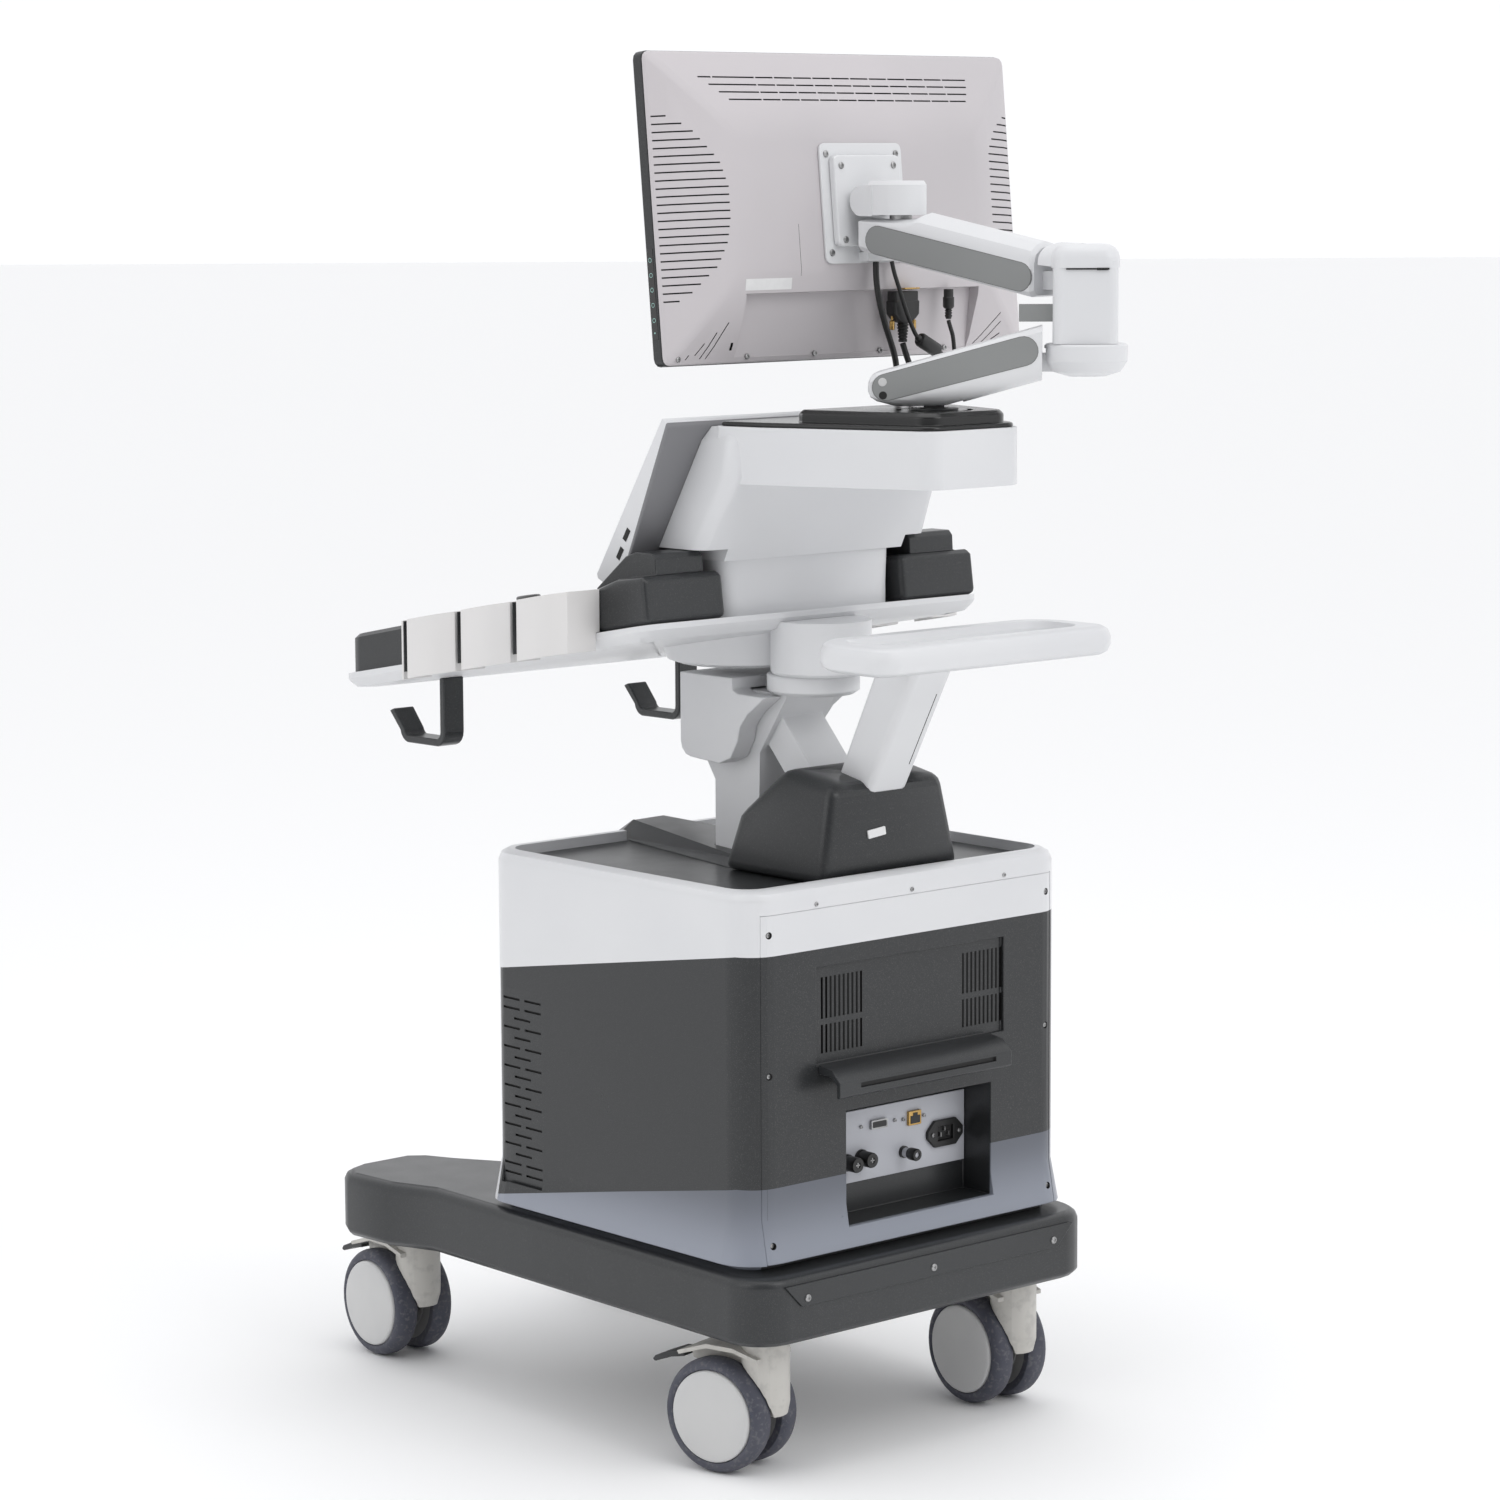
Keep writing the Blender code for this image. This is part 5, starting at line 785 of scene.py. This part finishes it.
for name, start, end, ends in (
        ("lower_arm", PEDESTAL, ELBOW,
         ((-0.0470, 1.0700), (-0.0470, 1.0965), (0.0880, 1.1040), (0.0880, 1.1330))),
        ("upper_arm", HEAD, ELBOW,
         ((-0.0100, 1.2100), (-0.0100, 1.2385), (0.1690, 1.1755), (0.1690, 1.2040)))):
    place = arm_place(start, end)
    for side, facing_side in ((1, "near"), (-1, "far")):
        line, plate = bmesh.new(), bmesh.new()
        tile(line, stadium(*ends, 0.0006), side * 0.0262, side * 0.02715, place)
        tile(plate, stadium(*ends, 0.0), side * 0.0262, side * 0.02745, place)
        as_piece(f"{name}_seam_{facing_side}", line, seam_grey, name)
        as_piece(f"{name}_inlay_{facing_side}", plate, inlay_grey, name, edge=0.0002)
plug, hole = bmesh.new(), bmesh.new()
on_lower_arm = arm_place(PEDESTAL, ELBOW)
spun([(0.0, 0.0), (0.0042, 0.0), (0.0042, 0.0004), (0.0038, 0.0007), (0.0, 0.0008)], 24, plug,
     on_lower_arm @ Matrix.Translation((-0.0500, 0.0273, 1.0885)) @ REARWARD)
as_piece("lower_arm_plug", plug, cover_grey, "lower_arm")
# The hole is a flat disc of painted shade.
spun([(0.0, 0.0), (0.0040, 0.0), (0.0040, 0.0003), (0.0, 0.0003)], 24, hole,
     on_lower_arm @ Matrix.Translation((-0.0495, 0.0273, 1.0755)) @ REARWARD)
as_piece("lower_arm_hole", hole, hole_shade, "lower_arm")


# ---- Elbow cap -------------------------------------------------------------------------
# A moulded white cap on the elbow carries the upper arm's crown over to the lower arm's
# lines, with a dark pull slot.  A grey cable gate stands out between the two arms.

SPRING = 1.2040                               # height where the bridge starts to curve in
run = (ELBOW - HEAD).length
reach = (ELBOW - PEDESTAL).length
bridge = []
for distance, top, half, low in ((run - 0.0400, 1.2212, 0.0264, 1.2016),
                                 (run - 0.0300, 1.2235, 0.0280, 1.2008),
                                 (run - 0.0050, 1.2225, 0.0290, 1.1990)):
    ring = [(distance, -half, low), (distance, half, low)]
    for degrees in range(0, 181, 15):
        turn = math.radians(degrees)
        ring.append((distance, half * math.cos(turn), SPRING + (top - SPRING) * math.sin(turn)))
    bridge.append(ring)
cap = loft(bridge, place=arm_place(HEAD, ELBOW))
# Each level's height, and how far its outline is drawn in.
levels = ((1.1992, 0.0000), (1.2080, 0.0000), (1.2140, 0.0012), (1.2185, 0.0045),
          (1.2212, 0.0095), (1.2220, 0.0150))
loft([[(a, b, z) for a, b in rounded(reach - 0.0345 + draw, reach + 0.0325 - draw,
                                     -0.0315 + draw, 0.0325 - draw, 0.0160 - draw * 0.5, 6)]
      for z, draw in levels], cap, on_lower_arm)
as_piece("elbow_cap", cap, satin_white, "elbow_block")
# The pull slot is drawn as bricks of painted shade.
slot = bmesh.new()
brick(slot, reach - 0.020, reach + 0.022, 0.0310, 0.0328, 1.1976, 1.1992, on_lower_arm)
brick(slot, reach + 0.010, reach + 0.021, 0.0310, 0.0330, 1.1970, 1.1994, on_lower_arm)
as_piece("elbow_cap_slot", slot, hole_shade, "elbow_block")
gate = bmesh.new()
loft([[(a, b, z) for a, b in rounded(reach - 0.066, reach - 0.028, 0.012, 0.016, 0.0015)]
      for z in (1.1468, 1.1640)], gate, on_lower_arm)
as_piece("cable_gate", gate, inlay_grey, "elbow_block", edge=0.0005)


# ---- Monitor's head and mounting plate -------------------------------------------------
# A white moulded head turns on a steel pin and carries the tilt plate.  A white plate joins
# it to the monitor's back, held by two square patterns of four screws.

skin("head_pin", frame_steel, 0.0004)
skin("swivel_head", satin_white, 0.0025, 3)
skin("tilt_plate", satin_white, 0.0014, 3)
skin("mount_plate", satin_white, 0.0010, 3)
MONITOR = (IN_CART @ Matrix.Translation((-0.070, 0.164, 1.261))
           @ Matrix.Rotation(math.radians(2.0), 4, "Z")
           @ Matrix.Rotation(math.radians(5.3), 4, "X"))
mount_screws = bmesh.new()
for half, y in ((0.100 / 2, 0.0034), (0.075 / 2, 0.0117)):      # 100 and 75 mm patterns
    for x in (-half, half):
        for z in (-half, half):
            screw(mount_screws, MONITOR @ Matrix.Translation((x, y, z)) @ REARWARD, 0.0036)
as_piece("mount_screws", mount_screws, screw_steel, "monitor")


# ---- Monitor ---------------------------------------------------------------------------
# A warm grey moulded back with long vent slots, in a charcoal front frame that holds the
# glass.

warm_grey = moulded("warm_grey", (0.56, 0.53, 0.545, 1.0), (0.53, 0.505, 0.52, 1.0), rough=0.48,
                    grain=1000.0, grain_depth=0.00008)

# The back's depth against the distance in from its edge.
DOME = ((0.0, -0.0357), (0.0015, -0.0320), (0.018, -0.023), (0.060, -0.006), (0.090, 0.0))
HALF_WIDTH, HALF_HEIGHT = 0.2575, 0.156


def between(table, at):
    """Straight-line reading of a table of (place, value) pairs."""
    if at <= table[0][0]:
        return table[0][1]
    for (a, low), (b, high) in zip(table, table[1:]):
        if at <= b:
            return low + (high - low) * (at - a) / (b - a)
    return table[-1][1]


def dome(x, z):
    """Depth of the back's surface, in the monitor's own frame."""
    return between(DOME, min(HALF_WIDTH - abs(x), HALF_HEIGHT - abs(z)))


def vent(bm, x0, z0, x1, z1, half=0.00075, deep=0.0025):
    """A slot cut along a line on the domed back."""
    count = max(2, round(abs(x1 - x0) / 0.012))
    a, b = (0.0, half) if abs(x1 - x0) >= abs(z1 - z0) else (half, 0.0)
    rings = []
    for k in range(count + 1):
        x, z = x0 + (x1 - x0) * k / count, z0 + (z1 - z0) * k / count
        y = dome(x, z)
        rings.append([(x - a, y - deep, z - b), (x + a, y - deep, z + b),
                      (x + a, y + 0.006, z + b), (x - a, y + 0.006, z - b)])
    loft(rings, bm, MONITOR)


back = skin("monitor_back", warm_grey, 0.0012, 3)
recess = bmesh.new()
loft([[(x, -0.0180, -0.0880), (x, 0.05, -0.0880), (x, 0.05, -0.1500), (x, -0.0305, -0.1500)]
      for x in (-0.1690, 0.1660)], recess, MONITOR)
carve(back, recess, warm_grey)
vents = bmesh.new()
# Long slots along the top, joined end to end at these places.
BREAKS = (0.180, 0.121, 0.095, 0.068, 0.041, 0.014, -0.013, -0.040, -0.067, -0.094, -0.121,
          -0.148)
for z, left, right in ((0.1287, 0.1997, -0.1847), (0.1210, 0.1885, -0.1822),
                       (0.1133, 0.1780, -0.1788), (0.1056, 0.1680, -0.1740)):
    marks = [left] + [x for x in BREAKS if x < left - 0.01] + [right]
    for x0, x1 in zip(marks, marks[1:]):
        vent(vents, x0 - 0.001, z, x1 + 0.001, z)
# Shorter slots at both sides, whose inner ends follow a curve of (height, place).
LENS = ((-0.0925, 0.240), (-0.084, 0.226), (-0.060, 0.200), (-0.036, 0.187), (-0.012, 0.182),
        (0.019, 0.182), (0.043, 0.190), (0.075, 0.216), (0.083, 0.227), (0.0904, 0.241))
for row in range(24):
    z = LENS[-1][0] - row * 0.00795
    inner = between(LENS, z)
    vent(vents, 0.2545, z, inner, z)
    vent(vents, -0.2545, z, -max(inner, 0.199), z)
# Slanting slots in the lower corners, then one wide slot and a hairline seam.
for line in ((0.232, -0.1505, 0.229, -0.146), (0.2207, -0.1465, 0.2117, -0.135),
             (0.213, -0.150, 0.1976, -0.125), (0.205, -0.150, 0.184, -0.1155),
             (-0.178, -0.147, -0.210, -0.116), (-0.1905, -0.146, -0.213, -0.125),
             (-0.203, -0.144, -0.215, -0.137)):
    vent(vents, *line, half=0.0007)
vent(vents, 0.174, -0.1355, 0.174, -0.143, half=0.0017)
vent(vents, 0.092, -0.020, 0.092, -0.072, half=0.00022, deep=0.0004)
carve(back, vents, hole_shade)
EDGE_SCREWS_Z = -0.1496
edge_screws = bmesh.new()
for x in (0.242, 0.148, 0.0535, -0.041, -0.1365):
    spot = MONITOR @ Matrix.Translation(
        (x, dome(x, EDGE_SCREWS_Z) + 0.0006, EDGE_SCREWS_Z)) @ REARWARD
    screw(edge_screws, spot, 0.0030)
as_piece("monitor_edge_screws", edge_screws, screw_steel, "monitor")
sticker = bmesh.new()
corners = ((0.168, -0.085), (0.1045, -0.085), (0.1045, -0.0736), (0.168, -0.0736))
loft([[(x, dome(x, z) + lift, z) for x, z in corners] for lift in (-0.0005, 0.00025)],
     sticker, MONITOR)
as_piece("blank_label", sticker, label_white, "monitor")
collar = bmesh.new()
brick(collar, -0.0430, -0.0650, -0.0010, 0.0110, -0.0895, -0.0880, MONITOR)
as_piece("video_socket_collar", collar, brass, "monitor", edge=0.0003)
keys = bmesh.new()
brick(keys, HALF_WIDTH - 0.0003, HALF_WIDTH + 0.0003, -0.0475, -0.0385, -0.129, -0.039, MONITOR)
as_piece("side_key_strip", keys, glass_black, "monitor", edge=0.0002)
icons = bmesh.new()
SIDEWAYS = Matrix.Rotation(math.radians(90), 4, "Y")      # turns Z to face the near side
for z in (-0.050, -0.065, -0.0795, -0.0944, -0.1095):
    place = MONITOR @ Matrix.Translation((HALF_WIDTH + 0.0003, -0.043, z)) @ SIDEWAYS
    ring_body([(0.0018, 0.0), (0.0023, 0.0), (0.0023, 0.0001), (0.0018, 0.0001)], 20, icons,
              place)
spun([(0.0, 0.0), (0.0009, 0.0), (0.0009, 0.0002), (0.0, 0.0002)], 14, icons,
     MONITOR @ Matrix.Translation((HALF_WIDTH + 0.0003, -0.043, -0.122)) @ SIDEWAYS)
icon_mint = moulded("icon_mint", (0.32, 0.55, 0.50, 1.0), (0.28, 0.50, 0.46, 1.0), rough=0.4)
as_piece("side_key_marks", icons, icon_mint, "monitor")
skin("monitor_bezel", charcoal, 0.0008)
skin("monitor_screen", glass_black, 0.0002)


# ---- Floor and light -------------------------------------------------------------------
# A plain white sweep of floor, a soft key from behind the cart, a weaker fill from its right
# side, and a bright room with one darker patch behind the camera that gloss can show.

FLOOR_REACH = 90
floor_mesh = bpy.data.meshes.new("floor")
floor_mesh.from_pydata([(x * FLOOR_REACH, y * FLOOR_REACH, 0)
                        for x, y in ((-1, -1), (1, -1), (1, 1), (-1, 1))], [], [(0, 1, 2, 3)])
floor = bpy.data.objects.new("floor", floor_mesh)
bpy.context.collection.objects.link(floor)
floor_white = bpy.data.materials.new("floor_white")
floor_white.use_nodes = True
floor_shader = floor_white.node_tree.nodes["Principled BSDF"]
floor_shader.inputs["Base Color"].default_value = grey(0.98)
floor_shader.inputs["Roughness"].default_value = 0.9
floor_mesh.materials.append(floor_white)

bpy.context.scene.view_settings.view_transform = "Standard"
world = bpy.data.worlds.new("studio")
bpy.context.scene.world = world
world.use_nodes = True
sky = Wire(world.node_tree)
facing = sky.node("VectorMath", {"operation": "DOT_PRODUCT"},
                  {0: sky.node("TexCoord"), 1: (0.66, 0.75, 0.0)}, out="Value")
light_wall = facing.span(0.55, 0.95).mix((0.95, 0.955, 0.97, 1.0), (0.16, 0.16, 0.17, 1.0))
background = world.node_tree.nodes["Background"]
world.node_tree.links.new(light_wall.socket, background.inputs["Color"])
background.inputs["Strength"].default_value = 1.06


def soft_light(name, place, aim, size, power):
    """A square soft box that faces a point."""
    data = bpy.data.lights.new(name, "AREA")
    data.size = size
    data.energy = power
    made = bpy.data.objects.new(name, data)
    made.location = place
    made.rotation_euler = (Vector(aim) - Vector(place)).to_track_quat("-Z", "Y").to_euler()
    bpy.context.collection.objects.link(made)


soft_light("key", (-0.6, 3.6, 3.2), (0.0, 0.0, 0.8), 2.2, 30.0)
soft_light("fill", (3.6, 0.6, 2.2), (0.0, 0.0, 0.7), 2.4, 14.0)
soft_light("top", (0.0, 0.2, 3.6), (0.0, 0.0, 0.6), 2.0, 12.0)
